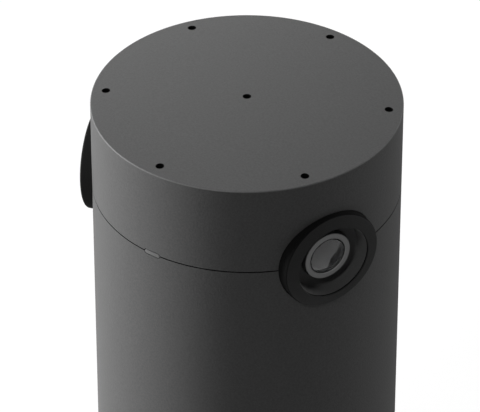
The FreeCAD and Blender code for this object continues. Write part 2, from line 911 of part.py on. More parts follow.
def make_thermal_pad():
    front = main_board_back + processor_height
    return box(
        -processor_half, processor_half, front, front + pad_thickness,
        pedestal_height - processor_half, pedestal_height + processor_half)


def make_memory_chips():
    chips = []
    for x in (-memory_offset_x, memory_offset_x):
        for z in (-memory_offset_z, memory_offset_z):
            height = pedestal_height + z
            chips.append(box(
                x - memory_half_width, x + memory_half_width,
                main_board_back, main_board_back + memory_thickness,
                height - memory_half_height, height + memory_half_height))
    return Part.makeCompound(chips)


def make_power_module():
    return box(
        power_module_x - power_module_width / 2, power_module_x + power_module_width / 2,
        main_board_front - power_module_depth, main_board_front,
        power_module_z - power_module_height / 2, power_module_z + power_module_height / 2)


# Cables


def sensor_connector_point(side):
    """Where a camera cable leaves the connector on the back of its sensor board."""
    reach = sensor_board_back - sensor_connector_thickness / 2
    local = vector(0, sensor_connector_place - sensor_connector_height / 2, reach)
    tilt_gap = cable_radius * math.sin(math.radians(camera_tilt))
    return lens_frame(side).multVec(local) - vector(0, 0, tilt_gap)


def board_connector(x, z):
    """Connector on the front of the main board, its mouth at the top."""
    return box(
        x - connector_width / 2, x + connector_width / 2,
        main_board_front - connector_depth, main_board_front, z - connector_height, z)


def make_cable_connectors():
    pieces = []
    for side in (-1, 1):
        low = sensor_connector_place - sensor_connector_height / 2
        block = box(
            -connector_width / 2, connector_width / 2, low, low + sensor_connector_height,
            sensor_board_back - sensor_connector_thickness, sensor_board_back)
        pieces.append(in_camera(block, side))
        pieces.append(board_connector(side * camera_plug_x, board_connector_z))
    pieces.append(board_connector(mic_cable_x, board_connector_z))
    pieces.append(board_connector(light_cable_x, board_connector_z))
    pieces.append(board_connector(port_cable_x, main_board_bottom + connector_height))
    half = connector_width / 2
    mic_end = mic_board_bottom - connector_height / 2
    pieces.append(centred_box(half, connector_depth / 2, mic_end, mic_board_bottom, mic_cable_x, mic_cable_y))
    pieces.append(box(
        light_cable_x - connector_width / 4, light_cable_x + connector_width / 4,
        light_board_back, light_board_back + connector_depth,
        seam_height - connector_height, seam_height))
    port_end = port_board_top + connector_depth
    pieces.append(centred_box(half, half, port_board_top, port_end, port_cable_x, port_cable_y))
    return Part.makeCompound(pieces)


def cable_to_board(start, fall, x):
    """Cable that falls straight from its start, crosses to the main board and plugs in from above."""
    y = main_board_front - connector_depth / 2
    turn = start - vector(0, 0, fall)
    above = vector(x, y, board_connector_z + cable_lead)
    return round_cable([start, turn, above, vector(x, y, board_connector_z)])


def make_camera_cable(side):
    start = sensor_connector_point(side)
    return cable_to_board(start, cable_lead, side * camera_plug_x)


def make_microphone_cable():
    start = vector(mic_cable_x, mic_cable_y, mic_board_bottom - connector_height / 2)
    return cable_to_board(start, start.z - carrier_base, mic_cable_x)


def make_status_cable():
    start = vector(light_cable_x, light_board_back + connector_depth / 2, seam_height - connector_height)
    return cable_to_board(start, start.z - carrier_base, light_cable_x)


def make_port_cable():
    y = main_board_front - connector_depth / 2
    start = vector(port_cable_x, y, main_board_bottom)
    turn = start - vector(0, 0, cable_lead / 2)
    low = vector(port_cable_x, port_cable_y, spine_foot_top + cable_bend)
    end = vector(port_cable_x, port_cable_y, port_board_top + connector_depth)
    return round_cable([start, turn, low, end])


# Base


def make_base_plate():
    disc_radius = shell_inner - base_fit
    flange = cylinder(body_radius - base_flange_inset, foot_proud, flange_top)
    disc = cylinder(disc_radius, foot_proud, base_floor)
    bay_outer = bay_half_width + bay_wall
    bay = box(-bay_outer, bay_outer, port_wall_front, body_radius, foot_proud, bay_roof)
    bay = bay.common(cylinder(disc_radius, foot_proud, bay_roof))
    pieces = [flange, disc, bay]
    pieces.append(cylinder(insert_boss_radius, foot_proud, foot_proud + insert_length + insert_boss_roof))
    for place in base_screw_places(0):
        pieces.append(cylinder(base_column_radius, foot_proud, bay_roof, place.x, place.y))
    for place in port_screw_places(0):
        pieces.append(cylinder(port_boss_radius, foot_proud, port_board_bottom, place.x, place.y))
    plate = joined(pieces)
    holes = [
        box(-bay_half_width, bay_half_width, port_wall_back, beyond, -beyond, bay_ceiling),
        cylinder(insert_radius, foot_proud, foot_proud + insert_length),
        foot_arc(foot_fit),
    ]
    for place in base_screw_places(0):
        holes.append(cylinder(base_screw_radius + screw_pass, foot_proud, bay_roof, place.x, place.y))
        head = Part.makeCone(base_head_radius, base_screw_radius + screw_pass, base_head_depth + screw_pass)
        holes.append(head.translated(vector(place.x, place.y, foot_proud)))
    for place in port_screw_places(0):
        bottom = port_board_top - port_screw_length - screw_pass
        holes.append(cylinder(port_screw_radius + screw_fit, bottom, port_board_bottom, place.x, place.y))
    gap = wall_window_gap
    holes.append(box(
        jack_x - jack_width / 2 - gap, jack_x + jack_width / 2 + gap, port_wall_front, port_wall_back,
        port_board_top - gap, port_board_top + jack_height + gap))
    usb_bottom = port_board_top + usb_lift
    holes.append(obround(
        usb_width + 2 * gap, usb_height + 2 * gap, port_wall_front, port_wall_back,
        usb_bottom + usb_height / 2).translated(vector(usb_x, 0, 0)))
    holes.append(along_y(button_radius + button_fit, port_wall_front, port_wall_back))
    return plate.cut(Part.makeCompound(holes))


def foot_arc(fit):
    """Ring that stops either side of the cable bay, wider all round by a fit."""
    arc = ring(foot_outer + fit, foot_inner - fit, 0, foot_top)
    gap_half = foot_gap_half - fit
    return arc.cut(box(-gap_half, gap_half, 0, beyond, -beyond, beyond))


def make_rubber_foot():
    return foot_arc(0.0)


def make_base_screws():
    screws = []
    for place in base_screw_places(foot_proud):
        head = Part.makeCone(base_head_radius, base_screw_radius, base_head_depth)
        shank = cylinder(base_screw_radius, 0, base_screw_length)
        socket = cylinder(socket_ratio * base_screw_radius, 0, socket_depth_ratio * base_screw_radius)
        screws.append(head.fuse(shank).cut(socket).translated(place))
    return Part.makeCompound(screws)


def make_threaded_insert():
    top = foot_proud + insert_length
    barrel = cylinder(insert_radius, foot_proud, top)
    thread = cylinder(insert_thread_radius, foot_proud, top - insert_mouth_chamfer)
    mouth_radius = insert_thread_radius + insert_mouth_chamfer
    mouth = Part.makeCone(mouth_radius, insert_thread_radius, insert_mouth_chamfer)
    return barrel.cut(thread).cut(mouth.translated(vector(0, 0, foot_proud)))


# Ports


def make_port_board():
    back = port_wall_front - port_board_wall_gap
    board = box(
        -port_board_half_width, port_board_half_width, port_board_front, back,
        port_board_bottom, port_board_top)
    holes = [cylinder(insert_boss_radius + screw_pass, port_board_bottom, port_board_top)]
    radius = port_screw_radius + screw_pass
    holes += [cylinder(radius, port_board_bottom, port_board_top, p.x, p.y) for p in port_screw_places(0)]
    return board.cut(Part.makeCompound(holes))


def make_network_jack():
    left = jack_x - jack_width / 2
    mouth = port_wall_back
    top = port_board_top + jack_height
    body = box(left, left + jack_width, mouth - jack_length, mouth, port_board_top, top)
    floor = port_board_top + socket_floor
    half = socket_width / 2
    inner_end = mouth - socket_depth
    socket = box(jack_x - half, jack_x + half, inner_end, mouth, floor, floor + socket_height)
    half_latch = latch_width / 2
    latch = box(jack_x - half_latch, jack_x + half_latch, inner_end, mouth, floor - latch_step, floor)
    return body.cut(socket.fuse(latch))


def make_network_contacts():
    inner_end = port_wall_back - socket_depth
    ceiling = port_board_top + socket_floor + socket_height
    contacts = []
    for k in range(contact_count):
        x = jack_x + (k - (contact_count - 1) / 2) * contact_pitch
        contacts.append(box(
            x - contact_width / 2, x + contact_width / 2, inner_end, inner_end + contact_length,
            ceiling - contact_drop, ceiling))
    return Part.makeCompound(contacts)


def make_usb_c_receptacle():
    middle = port_board_top + usb_lift + usb_height / 2
    back = port_wall_back - usb_length
    inner_end = back + 2 * usb_wall
    shell = obround(usb_width, usb_height, back, port_wall_back, middle)
    hollow = obround(usb_width - 2 * usb_wall, usb_height - 2 * usb_wall, inner_end, port_wall_back, middle)
    foot_end = port_wall_front - port_board_wall_gap
    foot = box(-usb_width / 4, usb_width / 4, back, foot_end, port_board_top, middle)
    tongue = box(
        -usb_tongue_width / 2, usb_tongue_width / 2, inner_end, inner_end + usb_tongue_length,
        middle - usb_tongue_thickness / 2, middle + usb_tongue_thickness / 2)
    body = shell.fuse(foot).cut(hollow)
    return joined([body, tongue]).translated(vector(usb_x, 0, 0))


# Reset button and its switch


def make_reset_button():
    flange_back = button_flange_front - button_flange_thickness
    cap = along_y(button_radius, flange_back, port_wall_back + button_proud)
    flange = along_y(button_flange_radius, flange_back, button_flange_front)
    stem = along_y(button_stem_radius, button_stem_end, flange_back)
    return joined([cap, flange, stem])


def make_reset_switch():
    body = box(
        button_x - switch_half_width, button_x + switch_half_width, switch_face - switch_length, switch_face,
        port_board_top, button_height + switch_top_margin)
    depth = plunger_length - plunger_out + button_travel + plunger_gap
    return body.cut(along_y(plunger_radius + plunger_fit, switch_face - depth, switch_face))


def make_reset_switch_plunger():
    return along_y(plunger_radius, plunger_tip - plunger_length, plunger_tip)


def build():
    nodes = {
        "top_cover": make_top_cover(),
        "body_sleeve": make_body_sleeve(),
        "base_plate": make_base_plate(),
        "rubber_foot": make_rubber_foot(),
        "base_screws": make_base_screws(),
        "threaded_insert": make_threaded_insert(),
        "ballast_plate": make_ballast_plate(),
        "chassis_spine": make_chassis_spine(),
        "camera_carrier": make_camera_carrier(),
        "sensor_board_screws": make_sensor_screws(),
        "microphone_board": make_microphone_board(),
        "microphones": make_microphones(),
        "microphone_gaskets": make_microphone_gaskets(),
        "microphone_meshes": make_microphone_meshes(),
        "status_light_pipe": make_status_light_pipe(),
        "status_led_board": make_status_led_board(),
        "status_led": make_status_led(),
        "main_board": make_main_board(),
        "processor": make_processor(),
        "thermal_pad": make_thermal_pad(),
        "memory_chips": make_memory_chips(),
        "power_module": make_power_module(),
        "cable_connectors": make_cable_connectors(),
        "microphone_cable": make_microphone_cable(),
        "status_light_cable": make_status_cable(),
        "port_cable": make_port_cable(),
        "port_board": make_port_board(),
        "network_jack": make_network_jack(),
        "network_contacts": make_network_contacts(),
        "usb_c_receptacle": make_usb_c_receptacle(),
        "reset_button": make_reset_button(),
        "reset_switch": make_reset_switch(),
        "reset_switch_plunger": make_reset_switch_plunger(),
    }
    in_lens_frame = {
        "camera_bezel": make_camera_bezel,
        "lens_trim_ring": make_trim_ring,
        "lens_barrel": make_lens_barrel,
        "lens_dome": make_lens_dome,
        "rear_lens": make_rear_lens,
        "lens_seal": make_lens_seal,
        "lens_mount": make_lens_mount,
        "image_sensor": make_image_sensor,
        "sensor_board": make_sensor_board,
    }
    for side, name in ((-1, "left"), (1, "right")):
        for node, make in in_lens_frame.items():
            nodes[node + "_" + name] = in_camera(make(), side)
        nodes["camera_cable_" + name] = make_camera_cable(side)
    down = vector(0, 0, -1)
    up = vector(0, 0, 1)
    nodes["cover_screws"] = screw_group(
        cover_screw_radius, cover_screw_length, cover_post_places(carrier_top_height), down)
    nodes["carrier_screws"] = screw_group(
        carrier_screw_radius, carrier_screw_length, carrier_screw_places(carrier_floor), up)
    nodes["chassis_screws"] = screw_group(
        spine_screw_radius, spine_screw_length, spine_screw_places(spine_foot_top), up)
    nodes["microphone_board_screws"] = screw_group(
        mic_screw_radius, mic_screw_length, mic_boss_places(mic_board_bottom), down)
    nodes["main_board_screws"] = screw_group(
        main_screw_radius, main_screw_length, main_screw_places(main_board_front), vector(0, -1, 0))
    nodes["port_board_screws"] = screw_group(
        port_screw_radius, port_screw_length, port_screw_places(port_board_top), up)
    return nodes


os.makedirs("parts", exist_ok=True)
for name, shape in build().items():
    placed = shape.Solids
    whole = placed[0] if len(placed) == 1 else Part.makeCompound(placed)
    whole.exportStep("parts/" + name + ".step")
    state = "valid" if whole.isValid() else "INVALID"
    print(name, len(placed), "solid(s)", round(whole.Volume, 1), "mm3", state)
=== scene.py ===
# %% [markdown]
# # A tabletop conference camera
# The real object is a dark, round tower. A shallow domed cover holds seven microphones,
# two wide-angle cameras look out to the left and right through deep round bezels, and a
# small status light sits in the seam between the cover and the sleeve below it.
# This lesson builds its looks around a CAD model that already fixes every size and place.

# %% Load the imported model
import json
import math

import bmesh
import bpy
from mathutils import Matrix, Vector


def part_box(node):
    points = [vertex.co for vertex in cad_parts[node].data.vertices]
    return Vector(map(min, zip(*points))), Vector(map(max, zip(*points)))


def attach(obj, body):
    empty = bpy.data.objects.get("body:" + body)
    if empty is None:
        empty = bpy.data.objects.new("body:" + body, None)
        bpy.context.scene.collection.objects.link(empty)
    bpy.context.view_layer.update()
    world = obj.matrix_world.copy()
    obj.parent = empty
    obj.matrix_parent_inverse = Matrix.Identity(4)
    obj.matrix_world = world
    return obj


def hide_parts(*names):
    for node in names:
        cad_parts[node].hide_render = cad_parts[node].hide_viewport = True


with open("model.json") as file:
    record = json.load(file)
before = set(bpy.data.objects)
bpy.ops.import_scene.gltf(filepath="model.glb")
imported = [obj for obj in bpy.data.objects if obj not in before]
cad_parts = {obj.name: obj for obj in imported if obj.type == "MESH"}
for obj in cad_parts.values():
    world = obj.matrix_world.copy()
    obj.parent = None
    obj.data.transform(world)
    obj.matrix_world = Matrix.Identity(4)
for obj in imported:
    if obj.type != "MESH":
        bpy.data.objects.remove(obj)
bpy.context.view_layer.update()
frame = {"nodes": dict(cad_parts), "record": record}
mm = 0.001

# %% [markdown]
# ## Sizes
# A modeller first collects the sizes that the pieces share. Most are read from the CAD
# nodes, so that each new piece lands exactly on the old one. The two cameras look along
# axes that lean away from the front, so their pieces are measured along those axes.

# %% Shared sizes of the casing
body_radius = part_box("top_cover")[1].x
crown_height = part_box("top_cover")[1].z
sleeve_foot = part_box("body_sleeve")[0].z
sleeve_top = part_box("body_sleeve")[1].z
tongue_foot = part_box("top_cover")[0].z
seam_gap = 0.4 * mm
seam_height = sleeve_top + seam_gap / 2
shell_wall = 2.0 * mm
shell_inner = body_radius - shell_wall
dome_rise = 1.6 * mm
rim_height = crown_height - dome_rise
cover_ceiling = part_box("microphone_meshes")[1].z
tongue_wall = 1.4 * mm
tongue_clearance = 0.1 * mm
print("radius, seam and rim in mm:", [round(v / mm, 2) for v in (body_radius, seam_height, rim_height)])

# %% The two lens axes
camera_turn = math.radians(68.3)
camera_tilt = math.radians(1.55)
lens_height = 251.89 * mm
SIDES = {"left": -1, "right": 1}


def lens_matrix(side):
    """Frame of one camera: X sideways, Y up, Z outwards along its lens axis."""
    turn = camera_turn * side
    flat = math.cos(camera_tilt)
    outward = Vector((math.sin(turn) * flat, -math.cos(turn) * flat, -math.sin(camera_tilt)))
    sideways = Vector((math.cos(turn), math.sin(turn), 0))
    turned_axes = Matrix((sideways, outward.cross(sideways), outward)).transposed()
    return Matrix.Translation((0, 0, lens_height)) @ turned_axes.to_4x4()


def reach_of(node):
    """Lowest and highest reach of a right-hand node along its lens axis, and its radius about it."""
    inward = lens_matrix(1).inverted()
    points = [inward @ corner.co for corner in frame["nodes"][node].data.vertices]
    reaches = [point.z for point in points]
    return min(reaches), max(reaches), max(point.xy.length for point in points)


trim_back, trim_face, trim_radius = reach_of("lens_trim_ring_right")
dome_seat, dome_apex, glass_radius = reach_of("lens_dome_right")
barrel_back, _, barrel_radius = reach_of("lens_barrel_right")
rear_back, rear_front, rear_radius = reach_of("rear_lens_right")
_, bezel_lip, bezel_radius = reach_of("camera_bezel_right")
print("ring face, dome apex, bezel lip:", [round(v / mm, 2) for v in (trim_face, dome_apex, bezel_lip)])

# %% [markdown]
# ## Small helpers
# Modelling by hand is a rhythm: let everything go, pick the parts to work on, use an
# operator on them. These helpers hold that rhythm, so each later cell can stay short.

# %% Selecting and placing
weld = 0.002 * mm


def let_go():
    """Leaves edit mode and deselects everything."""
    if bpy.context.object and bpy.context.object.mode != "OBJECT":
        bpy.ops.object.mode_set(mode="OBJECT")
    bpy.ops.object.select_all(action="DESELECT")


def take(piece):
    """Makes a piece the only selected and active object."""
    let_go()
    piece.select_set(True)
    bpy.context.view_layer.objects.active = piece


def pick(kind, test):
    """In edit mode, selects only the vertices, edges or faces that pass a test."""
    bpy.ops.mesh.select_mode(type=kind)
    bpy.ops.mesh.select_all(action="DESELECT")
    shape = bmesh.from_edit_mesh(bpy.context.object.data)
    parts = {"VERT": shape.verts, "EDGE": shape.edges, "FACE": shape.faces}[kind]
    for part in parts:
        part.select_set(test(part))
    bmesh.update_edit_mesh(bpy.context.object.data)


def settle(piece, matrix):
    """Puts a piece somewhere and writes that place into its mesh."""
    take(piece)
    piece.matrix_world = matrix
    bpy.ops.object.transform_apply(location=True, rotation=True, scale=True)


def twin(piece, name):
    """A copy of a piece with its own mesh."""
    copy = piece.copy()
    copy.data = piece.data.copy()
    copy.name = name
    bpy.context.scene.collection.objects.link(copy)
    return copy


# %% [markdown]
# Nearly every piece that shows is round. A cylinder with many insets could give such a
# shape too, but an outline that is drawn once and spun needs only one point for each
# step of the profile. The cutters and the small rounds come after it.

# %% Turning, cutting, rounding and smoothing
def turn_on_lathe(name, outline, steps, closed=True):
    """A turned piece about Z: the first vertex is placed, extruded point by point, and spun."""
    let_go()
    bpy.ops.mesh.primitive_plane_add(size=mm)
    piece = bpy.context.object
    piece.name = name
    bpy.ops.object.mode_set(mode="EDIT")
    bpy.ops.mesh.select_mode(type="VERT")
    bpy.ops.mesh.merge(type="CENTER")
    here = Vector((outline[0][0], 0, outline[0][1]))
    bpy.ops.transform.translate(value=here)
    for radius, height in outline[1:] + (outline[:1] if closed else []):
        there = Vector((radius, 0, height))
        bpy.ops.mesh.extrude_vertices_move(TRANSFORM_OT_translate={"value": there - here})
        here = there
    bpy.ops.mesh.select_all(action="SELECT")
    bpy.ops.mesh.remove_doubles(threshold=weld)
    bpy.ops.mesh.spin(steps=steps, angle=2 * math.pi, center=(0, 0, 0), axis=(0, 0, 1))
    bpy.ops.mesh.select_all(action="SELECT")
    bpy.ops.mesh.remove_doubles(threshold=weld)
    bpy.ops.mesh.normals_make_consistent(inside=False)
    bpy.ops.object.mode_set(mode="OBJECT")
    return piece


def arc(radius, height, curve, start, end, count):
    """Points of a round stretch of an outline; angles in degrees from outwards towards up."""
    angles = [math.radians(start + (end - start) * k / count) for k in range(count + 1)]
    return [(radius + curve * math.cos(a), height + curve * math.sin(a)) for a in angles]


def cap_curve(half_width, rise):
    """Radius of the sphere whose cap has this half width and rise."""
    return (half_width ** 2 + rise ** 2) / (2 * rise)


def carve(piece, tool, operation="DIFFERENCE"):
    """Cuts a piece with a tool, which is used up."""
    step = piece.modifiers.new("carve", "BOOLEAN")
    step.operation = operation
    step.solver = "EXACT"
    step.object = tool
    take(piece)
    bpy.ops.object.modifier_apply(modifier=step.name)
    bpy.data.objects.remove(tool)


def drill(radius, depth, matrix, sides):
    """A round cutter that starts at a frame's origin and runs along its Z."""
    let_go()
    bpy.ops.mesh.primitive_cylinder_add(vertices=sides, radius=radius, depth=depth)
    tool = bpy.context.object
    settle(tool, matrix @ Matrix.Translation((0, 0, depth / 2)))
    return tool


def soften(piece, width):
    """Breaks every sharp edge with a small round."""
    step = piece.modifiers.new("soften", "BEVEL")
    step.width = width
    step.segments = 2
    step.limit_method = "ANGLE"
    step.angle_limit = math.radians(40)
    step.harden_normals = False
    take(piece)
    bpy.ops.object.modifier_apply(modifier=step.name)


def smooth(piece, corner=math.radians(32)):
    """Smooth shading that keeps real corners crisp."""
    take(piece)
    bpy.ops.object.shade_smooth_by_angle(angle=corner)


# %% [markdown]
# ## The camera and the studio
# The photograph was taken with a long lens from above, about 37 degrees to the right of
# the status light. The camera is placed first, because it decides where detail matters.

# %% The photograph's camera
photo_width_px = 480
focal_px = 4000
sensor_width = 36.0
view_turn = math.radians(36.75)
view_rise = math.radians(35.95)
view_distance = 1234.5 * mm
aim_sideways = -2.1 * mm
aim_drop = 39.4 * mm

aim = Vector((aim_sideways * math.cos(view_turn), aim_sideways * math.sin(view_turn), rim_height - aim_drop))
back = Vector((
    math.sin(view_turn) * math.cos(view_rise),
    -math.cos(view_turn) * math.cos(view_rise),
    math.sin(view_rise)))
lens = bpy.data.cameras.new("photo_camera")
lens.sensor_width = sensor_width
lens.lens = sensor_width * focal_px / photo_width_px
lens.clip_start = 0.05
lens.clip_end = 60.0
photo_camera = bpy.data.objects.new("photo_camera", lens)
bpy.context.scene.collection.objects.link(photo_camera)
level = (-back).to_track_quat("-Z", "Y").to_matrix().to_4x4()
photo_camera.matrix_world = Matrix.Translation(aim + back * view_distance) @ level
bpy.context.scene.camera = photo_camera
print("camera at", [round(v, 3) for v in photo_camera.location], "focal length", lens.lens)

# %% [markdown]
# ## Light
# Dark matte plastic shows its shape through broad soft lights. A large bright panel on
# the left draws the light edge down the tower, two weaker ones stand behind on that side,
# and one behind on the right lifts the far edge, while the front stays dark. A small lamp
# in front reaches into the right bezel's well. Panels are described by how bright they
# look, and a lamp's power follows from that and from its area.

# %% Soft panels
panel_distance = 1.6


def soft_panel(name, azimuth, rise, width, height, glow):
    """An area lamp on a sphere round the lens height, aimed at the tower; azimuth 0 is the front."""
    turn = math.radians(azimuth)
    lift = math.radians(rise)
    way = Vector((math.sin(turn) * math.cos(lift), -math.cos(turn) * math.cos(lift), math.sin(lift)))
    lamp = bpy.data.lights.new(name, "AREA")
    lamp.shape = "RECTANGLE"
    lamp.size = width
    lamp.size_y = height
    lamp.energy = glow * math.pi * width * height
    panel = bpy.data.objects.new(name, lamp)
    bpy.context.scene.collection.objects.link(panel)
    panel.rotation_mode = "QUATERNION"
    panel.rotation_quaternion = way.to_track_quat("Z", "Y")
    panel.location = Vector((0, 0, lens_height)) + way * panel_distance
    panel.visible_camera = False
    return panel


soft_panel("key_panel", azimuth=-62, rise=6, width=0.5, height=1.2, glow=36.0)
soft_panel("back_panel", azimuth=-130, rise=38, width=0.8, height=0.8, glow=5.4)
soft_panel("low_back_panel", azimuth=-130, rise=10, width=0.8, height=0.8, glow=3.3)
soft_panel("front_spot", azimuth=9, rise=48, width=0.2, height=0.2, glow=36.0)
edge_panel = soft_panel("edge_panel", azimuth=153, rise=5, width=0.8, height=1.0, glow=7.2)
edge_panel.visible_glossy = False
edge_panel.visible_transmission = False
print("lamps:", [lamp.name for lamp in bpy.data.lights])

# %% [markdown]
# The photograph's background is white, but white surroundings would wash out the dark
# plastic. So the world looks white only to the camera, to gloss and through glass, and
# is dim to all other rays.

# %% White surroundings that keep the shadow
def white_share(tree, to_camera, to_mirrors):
    """How white a surface looks: one share for the camera, one for rays off gloss or through glass."""
    ray = tree.nodes.new("ShaderNodeLightPath")
    shares = {"Is Camera Ray": to_camera, "Is Glossy Ray": to_mirrors, "Is Transmission Ray": to_mirrors}
    total = None
    for kind, share in shares.items():
        part = tree.nodes.new("ShaderNodeMath")
        part.operation = "MULTIPLY"
        part.inputs[1].default_value = share
        tree.links.new(ray.outputs[kind], part.inputs[0])
        if total is None:
            total = part.outputs[0]
            continue
        both = tree.nodes.new("ShaderNodeMath")
        both.operation = "MAXIMUM"
        tree.links.new(total, both.inputs[0])
        tree.links.new(part.outputs[0], both.inputs[1])
        total = both.outputs[0]
    return total


ambient = 0.02
bpy.context.scene.view_settings.view_transform = "Standard"
world = bpy.data.worlds.new("studio")
bpy.context.scene.world = world
world.use_nodes = True
sky = world.node_tree.nodes["Background"]
sky.name = "dim"
sky.inputs["Color"].default_value = (ambient, ambient, ambient, 1)
white = world.node_tree.nodes.new("ShaderNodeBackground")
white.inputs["Color"].default_value = (1, 1, 1, 1)
choose = world.node_tree.nodes.new("ShaderNodeMixShader")
world.node_tree.links.new(white_share(world.node_tree, 1, 1), choose.inputs[0])
world.node_tree.links.new(sky.outputs[0], choose.inputs[1])
world.node_tree.links.new(white.outputs[0], choose.inputs[2])
world.node_tree.links.new(choose.outputs[0], world.node_tree.nodes["World Output"].inputs[0])
print("world brightness on the object:", ambient)

# %% [markdown]
# The floor is paper that looks mostly white to the camera, with some real paper mixed in so that the
# object's shadow shows. The white fades out under the foot: where the floor shone there too, the cable bay
# looked like a hole through the object. The fade runs on 12 mm past the casing, so a darker ring round the
# foot is painted shade on top of the real shadow.

# %% The floor
floor_size = 60
floor_white = 0.8
floor_mirrored = 0.85
floor_grey = 0.39
white_starts = body_radius - 3.0 * mm
white_is_full = body_radius + 12.0 * mm
let_go()
bpy.ops.mesh.primitive_plane_add(size=floor_size)
floor = bpy.context.object
floor.name = "floor"
paper = bpy.data.materials.new("pale_paper")
paper.use_nodes = True
tree = paper.node_tree
paper_shader = tree.nodes["Principled BSDF"]
seen = tree.nodes.new("ShaderNodeLightPath")
paleness = tree.nodes.new("ShaderNodeMath")
paleness.operation = "MULTIPLY_ADD"
paleness.inputs[1].default_value = 1 - floor_grey
paleness.inputs[2].default_value = floor_grey
tree.links.new(seen.outputs["Is Camera Ray"], paleness.inputs[0])
tree.links.new(paleness.outputs[0], paper_shader.inputs["Base Color"])
paper_shader.inputs["Roughness"].default_value = 0.9
paper_shader.inputs["Specular IOR Level"].default_value = 0.0
shine = tree.nodes.new("ShaderNodeEmission")
shine.inputs["Strength"].default_value = 1.0
choose = tree.nodes.new("ShaderNodeMixShader")
where = tree.nodes.new("ShaderNodeTexCoord")
from_axis = tree.nodes.new("ShaderNodeVectorMath")
from_axis.operation = "LENGTH"
tree.links.new(where.outputs["Object"], from_axis.inputs[0])
# Painted shade: near the foot the white share falls to nothing, which darkens the floor in a ring round it.
clear_of_foot = tree.nodes.new("ShaderNodeMapRange")
clear_of_foot.interpolation_type = "SMOOTHSTEP"
clear_of_foot.inputs["From Min"].default_value = white_starts
clear_of_foot.inputs["From Max"].default_value = white_is_full
tree.links.new(from_axis.outputs["Value"], clear_of_foot.inputs["Value"])
share = tree.nodes.new("ShaderNodeMath")
share.operation = "MULTIPLY"
tree.links.new(white_share(tree, floor_white, floor_mirrored), share.inputs[0])
tree.links.new(clear_of_foot.outputs["Result"], share.inputs[1])
tree.links.new(share.outputs[0], choose.inputs[0])
tree.links.new(paper_shader.outputs[0], choose.inputs[1])
tree.links.new(shine.outputs[0], choose.inputs[2])
tree.links.new(choose.outputs[0], tree.nodes["Material Output"].inputs[0])
floor.data.materials.append(paper)
print("the floor is white from", round(white_is_full / mm, 1), "mm off the axis")

# %% [markdown]
# A photographer shapes reflections with cards that stay out of the picture. The dark one
# keeps the right edge of the casing from glowing. The grey one makes the darker right
# half of the front glass, and its slanted edge is the line between the two halves.

# %% Two cards on the table
card_lift = 0.4 * mm


def table_card(name, left, right, near, far, grey):
    """A matt sheet on the floor that the camera doesn't see and that casts no shadow."""
    let_go()
    bpy.ops.mesh.primitive_plane_add(size=1)
    card = bpy.context.object
    card.name = name
    middle = Matrix.Translation(((left + right) / 2, (near + far) / 2, card_lift))
    settle(card, middle @ Matrix.Diagonal((right - left, far - near, 1, 1)))
    card.visible_camera = False
    card.visible_shadow = False
    felt = bpy.data.materials.new(name)
    felt.use_nodes = True
    cloth = felt.node_tree.nodes["Principled BSDF"]
    cloth.inputs["Base Color"].default_value = (grey, grey, grey, 1)
    cloth.inputs["Specular IOR Level"].default_value = 0.0
    card.data.materials.append(felt)
    return card


table_card("dark_card", left=-0.5, right=0.06, near=0.1, far=1.2, grey=0.08)
grey_card = table_card("grey_card", left=0.06, right=1.2, near=0.056, far=1.2, grey=0.1)
edge_point = (0.356, 0.094, 0)
away_from_edge = (0.801, -0.599, 0)
take(grey_card)
bpy.ops.object.mode_set(mode="EDIT")
bpy.ops.mesh.select_all(action="SELECT")
bpy.ops.mesh.bisect(plane_co=edge_point, plane_no=away_from_edge, clear_outer=True)
bpy.ops.object.mode_set(mode="OBJECT")
grey_card.visible_diffuse = False
print("grey card corners:", len(grey_card.data.vertices))

# %% [markdown]
# ## Finishes
# A finish is a small network: where on the piece, what pattern, how it changes colour,
# roughness and relief. A few helpers are enough for nearly all of them. Patterns read
# Object coordinates, in metres, so a size in millimetres means the same on every piece.

# %% Helpers for finishes
def new_finish(name, color, roughness, metallic=0.0):
    """A material, its node tree, its shader and the place socket that patterns read."""
    finish = bpy.data.materials.new(name)
    finish.use_nodes = True
    nodes = finish.node_tree.nodes
    shader = nodes["Principled BSDF"]
    shader.inputs["Base Color"].default_value = (*color, 1)
    shader.inputs["Roughness"].default_value = roughness
    shader.inputs["Metallic"].default_value = metallic
    place = nodes.new("ShaderNodeTexCoord").outputs["Object"]
    return finish, finish.node_tree, shader, place


def grain(tree, place, size, detail=2.0):
    """Soft random pattern with features of about a size in metres."""
    noise = tree.nodes.new("ShaderNodeTexNoise")
    noise.inputs["Scale"].default_value = 1 / size
    noise.inputs["Detail"].default_value = detail
    tree.links.new(place, noise.inputs["Vector"])
    return noise.outputs["Fac"]


noise_low = 0.3
noise_high = 0.7


def spread(tree, pattern, low, high, target):
    """Sends a pattern between two values into a socket."""
    step = tree.nodes.new("ShaderNodeMapRange")
    step.inputs["From Min"].default_value = noise_low
    step.inputs["From Max"].default_value = noise_high
    step.inputs["To Min"].default_value = low
    step.inputs["To Max"].default_value = high
    tree.links.new(pattern, step.inputs["Value"])
    tree.links.new(step.outputs["Result"], target)


def tone(tree, pattern, dark, light, target):
    """Sends a pattern between two colours into a colour socket."""
    ramp = tree.nodes.new("ShaderNodeValToRGB")
    ramp.color_ramp.elements[0].position = noise_low
    ramp.color_ramp.elements[0].color = (*dark, 1)
    ramp.color_ramp.elements[1].position = noise_high
    ramp.color_ramp.elements[1].color = (*light, 1)
    tree.links.new(pattern, ramp.inputs["Fac"])
    tree.links.new(ramp.outputs["Color"], target)


def vary(tree, pattern, color, swing, shader):
    """Lets the base colour swing about a colour with a pattern."""
    dark = [c * (1 - swing) for c in color]
    light = [c * (1 + swing) for c in color]
    tone(tree, pattern, dark, light, shader.inputs["Base Color"])


def relief(tree, pattern, depth, shader):
    """Turns a pattern into bumps of a depth in metres."""
    bump = tree.nodes.new("ShaderNodeBump")
    bump.inputs["Distance"].default_value = depth
    bump.inputs["Strength"].default_value = 1.0
    tree.links.new(pattern, bump.inputs["Height"])
    tree.links.new(bump.outputs["Normal"], shader.inputs["Normal"])


